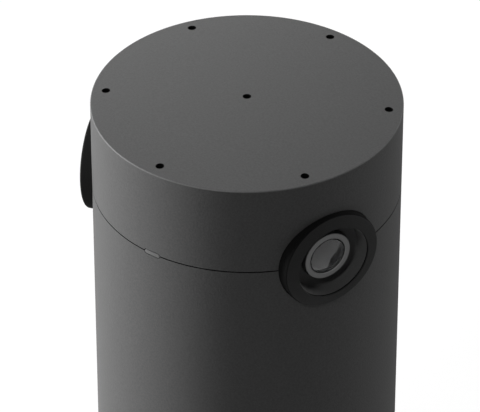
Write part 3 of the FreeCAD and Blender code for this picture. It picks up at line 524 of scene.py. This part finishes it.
def mottled(name, color, swing, size, roughness, rough_swing, depth, metallic=0.0):
    """The common finish: a colour, a roughness and a relief that all vary at one grain size."""
    finish, tree, shader, place = new_finish(name, color, roughness, metallic)
    pattern = grain(tree, place, size, 3.0)
    vary(tree, pattern, color, swing, shader)
    broad = grain(tree, place, size * 3)
    spread(tree, broad, roughness - rough_swing, roughness + rough_swing, shader.inputs["Roughness"])
    relief(tree, pattern, depth, shader)
    return finish


# %% [markdown]
# The casing is moulded in a tool whose surface was spark eroded, which leaves a fine
# even grain that kills gloss. The bezels have the same grain, finer and nearly black.

# %% Moulded plastics
plastic_swing = 0.12


def graphite_plastic(name, grey, gloss):
    """The casing's spark eroded grain."""
    finish, tree, shader, place = new_finish(name, (grey, grey, grey), 0.55)
    shader.inputs["Specular IOR Level"].default_value = gloss
    fine = grain(tree, place, 0.6 * mm, 3.0)
    vary(tree, fine, (grey, grey, grey), plastic_swing, shader)
    spread(tree, grain(tree, place, 0.6 * mm), 0.52, 0.58, shader.inputs["Roughness"])
    relief(tree, fine, 0.06 * mm, shader)
    return finish


def bezel_plastic(name, grey):
    """The bezels' finer grain, with almost no gloss."""
    finish, tree, shader, place = new_finish(name, (grey, grey, grey), 0.5)
    shader.inputs["Specular IOR Level"].default_value = 0.05
    fine = grain(tree, place, 0.22 * mm)
    vary(tree, fine, (grey, grey, grey), plastic_swing, shader)
    spread(tree, grain(tree, place, 0.5 * mm), 0.46, 0.54, shader.inputs["Roughness"])
    relief(tree, fine, 0.008 * mm, shader)
    return finish


# %% [markdown]
# The trim ring's face is machined on a lathe, so fine circles run round the lens axis.
# A Mapping node carries the pattern into the lens frame, and the distance from the axis
# drives a one-dimensional noise, which makes rings.

# %% Turned metal
ring_grey = (0.115, 0.115, 0.115)
ring_roughness = 0.5
ring_swing = 0.12


def turned_metal(name, side):
    """Satin metal with fine circles about one lens axis."""
    finish, tree, shader, place = new_finish(name, ring_grey, ring_roughness, 1.0)
    in_lens = tree.nodes.new("ShaderNodeMapping")
    in_lens.vector_type = "TEXTURE"
    in_lens.inputs["Location"].default_value = lens_matrix(side).translation
    in_lens.inputs["Rotation"].default_value = lens_matrix(side).to_euler()
    tree.links.new(place, in_lens.inputs["Vector"])
    flat = tree.nodes.new("ShaderNodeVectorMath")
    flat.operation = "MULTIPLY"
    flat.inputs[1].default_value = (1, 1, 0)
    tree.links.new(in_lens.outputs["Vector"], flat.inputs[0])
    distance = tree.nodes.new("ShaderNodeVectorMath")
    distance.operation = "LENGTH"
    tree.links.new(flat.outputs["Vector"], distance.inputs[0])
    circles = tree.nodes.new("ShaderNodeTexNoise")
    circles.noise_dimensions = "1D"
    circles.inputs["Scale"].default_value = 1 / (0.12 * mm)
    tree.links.new(distance.outputs["Value"], circles.inputs["W"])
    rings = circles.outputs["Fac"]
    vary(tree, rings, ring_grey, ring_swing, shader)
    spread(tree, rings, ring_roughness - 0.06, ring_roughness + 0.06, shader.inputs["Roughness"])
    relief(tree, rings, 0.006 * mm, shader)
    return finish


# %% [markdown]
# Lens glass is clear, polished and coated. Its reflections do most of the work: the
# white surroundings and the grey card show in the dome, and the grey bore of the barrel
# shows through it.

# %% Glass, light guide and dull black
def coated_glass(name, bending):
    """Clear glass, a touch darker where its coating is thicker."""
    finish, tree, shader, place = new_finish(name, (0.97, 0.98, 0.98), 0.0)
    shader.inputs["Transmission Weight"].default_value = 1.0
    shader.inputs["IOR"].default_value = bending
    coating = grain(tree, place, 2 * mm)
    tone(tree, coating, (0.94, 0.95, 0.96), (0.98, 0.99, 0.99), shader.inputs["Base Color"])
    return finish


def dull_black(name, grey, roughness, gloss):
    """Black with little gloss: anodised metal, or plastic painted near-black as the shade in a gap or
    recess.
    """
    finish = mottled(name, (grey, grey, grey), 0.15, 0.15 * mm, roughness, 0.05, 0.004 * mm)
    finish.node_tree.nodes["Principled BSDF"].inputs["Specular IOR Level"].default_value = gloss
    return finish


def light_guide():
    """Milky grey plastic, unlit."""
    finish, tree, shader, place = new_finish("light_guide", (0.1, 0.1, 0.1), 0.4)
    shader.inputs["Transmission Weight"].default_value = 0.15
    cloud = grain(tree, place, 1.2 * mm)
    tone(tree, cloud, (0.085, 0.085, 0.085), (0.105, 0.105, 0.105), shader.inputs["Base Color"])
    relief(tree, cloud, 0.01 * mm, shader)
    return finish


# %% [markdown]
# The inner pieces are seldom seen, but each is finished as the real thing: circuit
# boards with a woven glass pattern, cast, rolled and plated metal, rubber and foam.

# %% Boards and the finishes of the inner pieces
def weave(tree, place, size, dark, light, shader):
    """A fine check of two colours on the base colour; gives back its pattern."""
    check = tree.nodes.new("ShaderNodeTexChecker")
    check.inputs["Scale"].default_value = 1 / size
    check.inputs["Color1"].default_value = (*dark, 1)
    check.inputs["Color2"].default_value = (*light, 1)
    tree.links.new(place, check.inputs["Vector"])
    tree.links.new(check.outputs["Color"], shader.inputs["Base Color"])
    return check.outputs["Fac"]


def circuit_board():
    """Green lacquer over woven glass, shinier in places."""
    finish, tree, shader, place = new_finish("circuit_board", (0.01, 0.09, 0.04), 0.35)
    glass = weave(tree, place, 0.8 * mm, (0.008, 0.075, 0.035), (0.012, 0.1, 0.045), shader)
    spread(tree, grain(tree, place, 1.5 * mm), 0.3, 0.4, shader.inputs["Roughness"])
    relief(tree, glass, 0.01 * mm, shader)
    return finish


def acoustic_mesh():
    """Fine black cloth behind the microphone holes."""
    finish, tree, shader, place = new_finish("acoustic_mesh", (0.015, 0.015, 0.015), 0.9)
    cloth = weave(tree, place, 0.12 * mm, (0.01, 0.01, 0.01), (0.03, 0.03, 0.03), shader)
    relief(tree, cloth, 0.02 * mm, shader)
    return finish


finishes = {
    "graphite_plastic": graphite_plastic("graphite_plastic", 0.075, 0.09),
    "bezel_plastic": bezel_plastic("bezel_plastic", 0.031),
    "lens_trim_metal": turned_metal("lens_trim_metal", 1),
    "barrel_metal": dull_black("black_anodised", 0.012, 0.6, 0.1),
    "lens_glass": coated_glass("lens_glass", 1.5),
    "circuit_board": circuit_board(),
    "light_guide": light_guide(),
    "acoustic_mesh": acoustic_mesh(),
}

# Each row: colour, its swing, grain size, roughness, its swing, relief, and 1.0 for metal.
plain_looks = {
    "seal_foam": ((0.03, 0.03, 0.03), 0.3, 0.5 * mm, 0.9, 0.05, 0.1 * mm),
    "rubber": ((0.03, 0.03, 0.03), 0.15, 0.3 * mm, 0.75, 0.08, 0.02 * mm),
    "chip": ((0.025, 0.025, 0.027), 0.12, 0.15 * mm, 0.6, 0.06, 0.01 * mm),
    "connector_plastic": ((0.72, 0.68, 0.58), 0.04, 0.4 * mm, 0.45, 0.05, 0.01 * mm),
    "cast_aluminium": ((0.55, 0.55, 0.56), 0.08, 0.4 * mm, 0.5, 0.08, 0.03 * mm, 1.0),
    "ballast_steel": ((0.42, 0.42, 0.43), 0.1, 1.5 * mm, 0.4, 0.1, 0.01 * mm, 1.0),
    "screw_steel": ((0.5, 0.5, 0.51), 0.06, 0.2 * mm, 0.32, 0.06, 0.004 * mm, 1.0),
    "insert_brass": ((0.72, 0.52, 0.22), 0.06, 0.3 * mm, 0.3, 0.06, 0.004 * mm, 1.0),
    "contact_gold": ((0.85, 0.62, 0.25), 0.04, 0.2 * mm, 0.25, 0.04, 0.002 * mm, 1.0),
    "jack_shell": ((0.58, 0.58, 0.59), 0.05, 0.6 * mm, 0.3, 0.06, 0.004 * mm, 1.0),
    "thermal_pad": ((0.35, 0.38, 0.5), 0.06, 0.3 * mm, 0.8, 0.05, 0.02 * mm),
    "cable_jacket": ((0.04, 0.04, 0.042), 0.1, 0.5 * mm, 0.5, 0.06, 0.01 * mm),
}
for name, look in plain_looks.items():
    finishes[name] = mottled(name, *look)

# The rim chamfer is glossier, and its lighter grey paints a highlight along the rim.
rim_edge = graphite_plastic("rim_edge", 0.085, 0.35)
# Painted shade: near-black plastic for the microphone holes, the seam gap and the bezels' outer walls, where
# shade falls.
painted_shade_wall = dull_black("wall_black", 0.006, 0.8, 0.04)
slot_of = {row["node"]: row["material_slot"] for row in frame["record"]["subparts"]}
body_of = {node: body for body, nodes in frame["record"]["behaviour"]["bodies"].items() for node in nodes}
print(len(finishes), "finishes for", len(slot_of), "nodes")

# %% [markdown]
# A finished piece stands for a CAD node: it takes the node's place in the picture and moves with the same
# body, and without finishes of its own it takes the finish of the node's material slot. Zones let the faces
# of one piece have several finishes, so that it needn't be split.

# %% Handing pieces over
def stand_in_for(piece, node, *own_finishes):
    """Gives a finished piece its materials (by default the finish of its node's slot), hides the CAD node
    and attaches the piece to the node's body.
    """
    piece.data.materials.clear()
    for finish in own_finishes or [finishes[slot_of[node]]]:
        piece.data.materials.append(finish)
    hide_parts(node)
    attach(piece, body_of[node])


def fit_both_cameras(source, piece_name, node, zones, finishes_of):
    """Copies a turned piece into both lens frames; zones say which finish each face gets."""
    for name, side in SIDES.items():
        piece = twin(source, piece_name + name)
        settle(piece, lens_matrix(side))
        stand_in_for(piece, node + name, *finishes_of(name))
        piece.data.polygons.foreach_set("material_index", zones)
    bpy.data.objects.remove(source)


# %% [markdown]
# ## Top cover
# The cover is one moulding: a slightly domed top, a rim with a tiny chamfer, a short
# side wall, and a tongue that slides into the sleeve. It is a turned shape, so its
# outline is extruded vertex by vertex and spun. The openings come after, with cutters.

# %% The cover's outline, spun
rim_chamfer = 0.25 * mm
edge_break = 0.06 * mm
round_steps = 288
flat_radius = body_radius - rim_chamfer
dome_curve = cap_curve(flat_radius, dome_rise)
dome_span = math.degrees(math.asin(flat_radius / dome_curve))
dome_points = arc(0, crown_height - dome_curve, dome_curve, 90, 90 - dome_span, 12)
cover_foot = seam_height + seam_gap / 2
tongue_outer = shell_inner - tongue_clearance
tongue_inner = tongue_outer - tongue_wall
tongue_root = seam_height + (seam_height - tongue_foot)
cover_outline = dome_points + [
    (body_radius, rim_height - rim_chamfer),
    (body_radius, cover_foot + edge_break),
    (body_radius - edge_break, cover_foot),
    (tongue_outer, cover_foot),
    (tongue_outer, tongue_foot),
    (tongue_inner, tongue_foot),
    (tongue_inner, tongue_root),
    (shell_inner, tongue_root),
    (shell_inner, cover_ceiling),
    (0, cover_ceiling),
]
cover = turn_on_lathe("top_cover_shell", cover_outline, round_steps, closed=False)
print("cover:", len(cover.data.vertices), "vertices")

# %% Microphone holes
mic_circle = body_radius - 4.37 * mm
mic_hole_radius = 1.3 * mm
mic_hole_depth = 8 * mm
mics_on_circle = 6
mic_places = [(0.0, 0.0)]
for k in range(mics_on_circle):
    angle = math.radians(-90 + 60 * k)
    mic_places.append((mic_circle * math.cos(angle), mic_circle * math.sin(angle)))
for x, y in mic_places:
    start = Matrix.Translation((x, y, cover_ceiling - mm))
    carve(cover, drill(mic_hole_radius, mic_hole_depth, start, 40))
print("microphone holes:", len(mic_places))

# %% Bezel openings and the light's slot
bezel_hole_radius = bezel_radius + 0.2 * mm
bezel_hole_start = 20 * mm
bezel_hole_length = 40 * mm
light_half_length = 2.75 * mm
light_half_height = 0.625 * mm
slot_gap = 0.3 * mm
slot_reach = 5 * mm
end_steps = 10
nearly_round = 0.999


def rounded_bar(name, half_length, half_height, front, back):
    """A bar with round ends along X, from a cube whose four long corners are beveled."""
    let_go()
    bpy.ops.mesh.primitive_cube_add(size=2)
    bar = bpy.context.object
    bar.name = name
    shape = Matrix.Diagonal((half_length, (back - front) / 2, half_height, 1))
    settle(bar, Matrix.Translation((0, (front + back) / 2, seam_height)) @ shape)
    bpy.ops.object.mode_set(mode="EDIT")
    pick("EDGE", lambda edge: abs(edge.verts[0].co.y - edge.verts[1].co.y) > half_height)
    end_round = half_height * nearly_round
    bpy.ops.mesh.bevel(offset=end_round, segments=end_steps, affect="EDGES", offset_type="OFFSET")
    bpy.ops.object.mode_set(mode="OBJECT")
    return bar


def open_for_cameras_and_light(shell):
    """Cuts both bezel openings and the status light's slot."""
    for side in SIDES.values():
        start = lens_matrix(side) @ Matrix.Translation((0, 0, bezel_hole_start))
        carve(shell, drill(bezel_hole_radius, bezel_hole_length, start, 144))
    slot = rounded_bar(
        "slot", light_half_length + slot_gap, light_half_height + slot_gap,
        -body_radius - slot_reach, -body_radius + slot_reach)
    carve(shell, slot)


open_for_cameras_and_light(cover)
smooth(cover, math.radians(20))
print("cover with its openings:", len(cover.data.polygons), "faces")

# %% The cover's finishes
def cover_zone(face):
    """Which finish a face gets: 0 casing, 1 near-black painted shade in the microphone holes and the seam, 2
    glossier rim chamfer with a painted highlight.
    """
    radius = face.center.xy.length
    if face.center.z < cover_foot + weld:
        return 1
    if face.center.z > cover_ceiling and abs(face.normal.z) < 0.3 and radius < flat_radius - mm:
        return 1
    return 2 if radius > flat_radius and face.center.z > rim_height - rim_chamfer else 0


stand_in_for(cover, "top_cover", finishes["graphite_plastic"], painted_shade_wall, rim_edge)
cover_zones = [cover_zone(face) for face in cover.data.polygons]
cover.data.polygons.foreach_set("material_index", cover_zones)
print("black faces:", cover_zones.count(1), "rim faces:", cover_zones.count(2))

# %% [markdown]
# ## Body sleeve
# The sleeve is a long tube, turned like the cover. The edges at the seam are broken by a
# few hundredths of a millimetre, as a real moulding's are, because a sharp edge catches
# no light. A notch at the back of its foot lets the cables out, cut by a beveled cube.

# %% The sleeve
foot_break = 0.3 * mm
sleeve_outline = [
    (shell_inner, sleeve_foot),
    (body_radius - foot_break, sleeve_foot),
    (body_radius, sleeve_foot + foot_break),
    (body_radius, sleeve_top - edge_break),
    (body_radius - edge_break, sleeve_top),
    (shell_inner, sleeve_top),
]
sleeve = turn_on_lathe("body_sleeve_shell", sleeve_outline, round_steps)
open_for_cameras_and_light(sleeve)
print("sleeve:", len(sleeve.data.polygons), "faces")

# %% The cable notch
notch_half_width = 9.0 * mm
notch_top = 13.0 * mm
notch_round = 4.0 * mm
notch_half_depth = 10 * mm


def is_upper_edge(edge):
    """A long edge of the cutter that lies above the table and runs through the wall."""
    first, second = edge.verts
    return first.co.z > 0 and second.co.z > 0 and abs(first.co.y - second.co.y) > mm


let_go()
bpy.ops.mesh.primitive_cube_add(size=2)
notch = bpy.context.object
shape = Matrix.Diagonal((notch_half_width, notch_half_depth, notch_top, 1))
settle(notch, Matrix.Translation((0, body_radius, 0)) @ shape)
bpy.ops.object.mode_set(mode="EDIT")
pick("EDGE", is_upper_edge)
bpy.ops.mesh.bevel(offset=notch_round, segments=10, affect="EDGES", offset_type="OFFSET")
carve(sleeve, notch)
smooth(sleeve)
stand_in_for(sleeve, "body_sleeve", finishes["graphite_plastic"], painted_shade_wall)
# The seam's top face gets the near-black, as painted shade in the seam gap.
at_seam = [int(face.center.z > sleeve_top - weld and face.normal.z > 0.9) for face in sleeve.data.polygons]
sleeve.data.polygons.foreach_set("material_index", at_seam)
print("sleeve with its notch:", len(sleeve.data.polygons), "faces")

# %% [markdown]
# ## Camera bezels
# Each bezel is a cup that stands a little proud of the casing: a rounded outer edge, a
# face that rises to a fine lip, a deep tapered well and a floor with a hole for the
# lens. It is turned once about Z, then copied into both lens frames.

# %% The bezel's outline
face_edge_reach = bezel_lip - 1.0 * mm
bezel_back = face_edge_reach - 7.7 * mm
edge_round = 0.8 * mm
lip_chamfer = 0.3 * mm
well_mouth_radius = 12.15 * mm
well_floor_radius = 11.6 * mm
well_floor_reach = bezel_lip - 5.3 * mm
well_floor_back = well_floor_reach - 1.6 * mm
well_root_round = 0.5 * mm
lens_hole_radius = trim_radius + 0.18 * mm
hole_chamfer = 0.15 * mm
skirt_inner = bezel_radius - 1.6 * mm
face_run = bezel_radius - well_mouth_radius - lip_chamfer
face_slope = math.degrees(math.atan2(bezel_lip - face_edge_reach, face_run))
round_centre = face_edge_reach - edge_round * 0.86
outer_round = arc(bezel_radius - edge_round, round_centre, edge_round, 0, 90 - face_slope, 6)
groove_top = bezel_lip - lip_chamfer
groove_foot = groove_top - 0.4 * mm
groove_radius = well_mouth_radius + 0.3 * mm
mouth = [
    (well_mouth_radius + lip_chamfer * 0.5, bezel_lip),
    (well_mouth_radius, groove_top),
    (groove_radius, groove_top),
    (groove_radius, groove_foot),
    (well_mouth_radius - 0.03 * mm, groove_foot),
]
root_centre = well_floor_reach + well_root_round
root_round = arc(well_floor_radius - well_root_round, root_centre, well_root_round, 0, -90, 5)
bezel_outline = [(bezel_radius, bezel_back)] + outer_round + mouth + root_round + [
    (lens_hole_radius + hole_chamfer, well_floor_reach),
    (lens_hole_radius, well_floor_reach - hole_chamfer),
    (lens_hole_radius, well_floor_back),
    (skirt_inner, well_floor_back),
    (skirt_inner, bezel_back),
]
bezel = turn_on_lathe("camera_bezel", bezel_outline, 192)
smooth(bezel)
print("bezel outline points:", len(bezel_outline), "face slope:", round(face_slope, 1), "degrees")

# %% The bezels' finishes
def bezel_zone(face):
    """Which finish a face of the cup gets: 0 face, 1 near-black painted shade on the outer wall and in the
    groove, 2 well in a lighter grey as painted light, 3 fine hole edge.
    """
    radius = face.center.xy.length
    reach = face.center.z
    if radius > bezel_radius - edge_round * 0.4:
        return 1
    if well_mouth_radius < radius < groove_radius + weld and groove_foot - weld < reach < groove_top + weld:
        return 1
    if lens_hole_radius < radius < lens_hole_radius + hole_chamfer and reach > well_floor_back + mm:
        return 3
    return 2 if well_floor_back + weld < reach < groove_foot and radius < well_mouth_radius else 0


# Painted light: the well is the bezel's plastic in a lighter grey, standing in for light that hardly reaches
# into it. The trim rings' outer walls get it too.
well_plastic = bezel_plastic("well_plastic", 0.1)
ring_metal = {name: turned_metal("lens_trim_metal_" + name, side) for name, side in SIDES.items()}
# Painted shade: the outer walls and grooves are near-black; the left cup's black is lighter, painting the
# light that reaches that side.
cup_painted_shade = {"left": dull_black("worn_wall_black", 0.011, 0.8, 0.04), "right": painted_shade_wall}
cup_zones = [bezel_zone(face) for face in bezel.data.polygons]
fit_both_cameras(
    bezel, "camera_bezel_cup_", "camera_bezel_", cup_zones,
    lambda name: (finishes["bezel_plastic"], cup_painted_shade[name], well_plastic, ring_metal[name]))
print("cup faces:", len(cup_zones), "in the well:", cup_zones.count(2))

# %% [markdown]
# ## Lens
# Seen from outside a lens is a stack of rings: a collar with a satin metal face, a clear
# dome, and behind it a barrel with a blasted grey bore and a second glass. All of them
# are turned about the lens axis, as the real ones are.

# %% Trim ring
ring_break = 0.18 * mm
ring_bore = glass_radius + 0.06 * mm
trim_outline = [
    (ring_bore, trim_back),
    (ring_bore, trim_face - ring_break),
    (ring_bore + ring_break, trim_face),
    (trim_radius - ring_break, trim_face),
    (trim_radius, trim_face - ring_break),
    (trim_radius, trim_back),
]
trim = turn_on_lathe("lens_trim", trim_outline, 160)
smooth(trim, math.radians(25))


def trim_zone(face):
    """Which finish a face of the ring gets: 0 metal front and chamfers, 1 black bore, 2 outer wall in the
    well's lighter grey, painted light where it lies in shade.
    """
    if face.normal.z > 0.5:
        return 0
    return 2 if face.center.xy.length > trim_radius - ring_break else 1


trim_zones = [trim_zone(face) for face in trim.data.polygons]
fit_both_cameras(
    trim, "lens_trim_face_", "lens_trim_ring_", trim_zones,
    lambda name: (ring_metal[name], finishes["barrel_metal"], well_plastic))
print("trim ring faces:", len(trim_zones))

# %% Barrel with its blasted bore
barrel_bore = rear_radius + 0.05 * mm
stop_bore = 4.2 * mm
seat_face = dome_seat - 0.03 * mm
barrel_outline = [
    (stop_bore, barrel_back),
    (barrel_radius, barrel_back),
    (barrel_radius, trim_back),
    (ring_bore, trim_back),
    (ring_bore, seat_face),
    (barrel_bore, seat_face),
    (barrel_bore, rear_front),
    (barrel_bore, rear_back),
    (stop_bore, rear_back),
]
barrel = turn_on_lathe("lens_barrel", barrel_outline, 96)
smooth(barrel, math.radians(25))
blasted = mottled("blasted_bore", (0.12, 0.12, 0.12), 0.1, 0.3 * mm, 0.7, 0.05, 0.004 * mm)
bore_zones = [
    int(face.center.xy.length < glass_radius and face.center.z < dome_seat)
    for face in barrel.data.polygons]
fit_both_cameras(
    barrel, "lens_barrel_tube_", "lens_barrel_", bore_zones,
    lambda name: (finishes["barrel_metal"], blasted))
print("bore faces:", sum(bore_zones))

# %% Domed front glass and rear glass
dome_edge = trim_face - 0.3 * mm
front_curve = cap_curve(glass_radius, dome_apex - dome_edge)
front_centre = dome_apex - front_curve
hollow_radius = glass_radius - 0.95 * mm
hollow_curve = math.hypot(hollow_radius, dome_seat - front_centre)
clear_radius = glass_radius - 0.28 * mm
front_span = math.degrees(math.asin(clear_radius / front_curve))
hollow_span = math.degrees(math.asin(hollow_radius / hollow_curve))
dome_outline = arc(0, front_centre, front_curve, 90, 90 - front_span, 20)
dome_outline += [(glass_radius, dome_outline[-1][1] - 0.1 * mm), (glass_radius, dome_seat)]
dome_outline += arc(0, front_centre, hollow_curve, 90 - hollow_span, 90, 16)
dome = turn_on_lathe("lens_dome", dome_outline, 128, closed=False)
smooth(dome, math.radians(35))

rear_height = 0.8 * mm
rear_curve = cap_curve(rear_radius, rear_height)
rear_span = math.degrees(math.asin(rear_radius / rear_curve))
rear_outline = arc(0, rear_front - rear_curve, rear_curve, 90, 90 - rear_span, 12)
rear_outline += [(rear_radius, rear_back), (0, rear_back)]
rear = turn_on_lathe("rear_lens", rear_outline, 96, closed=False)
smooth(rear, math.radians(35))
inner_glass = coated_glass("inner_lens_glass", 1.2)
for name, side in SIDES.items():
    for source, node, glass, clear in (
            (dome, "lens_dome_", finishes["lens_glass"], clear_radius),
            (rear, "rear_lens_", inner_glass, rear_radius * 0.97)):
        piece = twin(source, node + "glass_" + name)
        zones = []
        for face in piece.data.polygons:
            blackened = face.center.xy.length > clear
            zones.append(1 if blackened else 2 if face.normal.z < 0 else 0)
        settle(piece, lens_matrix(side))
        stand_in_for(piece, node + name, glass, finishes["barrel_metal"], inner_glass)
        piece.data.polygons.foreach_set("material_index", zones)
bpy.data.objects.remove(dome)
bpy.data.objects.remove(rear)
print("dome curve", round(front_curve / mm, 2), "mm, hollow curve", round(hollow_curve / mm, 2), "mm")

# %% [markdown]
# ## Status light
# The light is a small milky bar with round ends, flush with the casing. Its front is
# part of the casing's cylinder, so the bar is cut long and trimmed by a round tool.

# %% The light guide
guide_low, guide_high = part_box("status_light_pipe")
led_low, led_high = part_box("status_led")
led_room = 0.4 * mm
hood_front = -body_radius + 4.5 * mm
trimmer_length = 20 * mm
guide = rounded_bar(
    "status_light_guide", light_half_length, light_half_height, -body_radius - mm, hood_front + mm)
start = Matrix.Translation((0, 0, seam_height - trimmer_length / 2))
carve(guide, drill(body_radius, trimmer_length, start, round_steps), "INTERSECT")


def block(name, low, high):
    """A box between two corners, to be joined to a piece or cut from it."""
    let_go()
    bpy.ops.mesh.primitive_cube_add(size=2)
    box = bpy.context.object
    box.name = name
    settle(box, Matrix.Translation((low + high) / 2) @ Matrix.Diagonal((*((high - low) / 2), 1)))
    return box


room = Vector((led_room, led_room, led_room))
hood = block("hood", Vector((guide_low.x, hood_front, guide_low.z)), guide_high)
carve(guide, hood, "UNION")
carve(guide, block("led_room", led_low - room, led_high + room))
soften(guide, 0.08 * mm)
smooth(guide)
stand_in_for(guide, "status_light_pipe")
print("light guide:", len(guide.data.polygons), "faces")

# %% [markdown]
# ## Foot, base and sockets
# These shapes are right as the CAD made them, but its mesh is loose triangles that shade
# flat. A copy of each is merged and smoothed, and the copy stands for the node. Weighted
# normals keep its large flat faces flat.

# %% Smooth copies of the round CAD pieces
def smooth_copy(node):
    """A merged copy of a CAD node with even shading, which stands for it."""
    piece = bpy.data.objects.new(node + "_smooth", frame["nodes"][node].data.copy())
    bpy.context.scene.collection.objects.link(piece)
    take(piece)
    bpy.ops.object.mode_set(mode="EDIT")
    bpy.ops.mesh.select_all(action="SELECT")
    bpy.ops.mesh.remove_doubles(threshold=weld)
    bpy.ops.object.mode_set(mode="OBJECT")
    smooth(piece, math.radians(25))
    even = piece.modifiers.new("even", "WEIGHTED_NORMAL")
    even.keep_sharp = True
    bpy.ops.object.modifier_apply(modifier=even.name)
    stand_in_for(piece, node)
    return piece


round_nodes = (
    "base_plate", "rubber_foot", "threaded_insert", "base_screws", "usb_c_receptacle", "reset_button")
for node in round_nodes:
    print(node, len(smooth_copy(node).data.vertices), "vertices")

# %% [markdown]
# Boards, chips, screws, cables and castings are shown as the CAD made them. Each gets the
# finish that its material slot in the record names.

# %% Finishes on the nodes that stay
for node, piece in frame["nodes"].items():
    for place in piece.material_slots:
        place.material = finishes[slot_of[node]]
print("finished", len(frame["nodes"]), "CAD nodes")
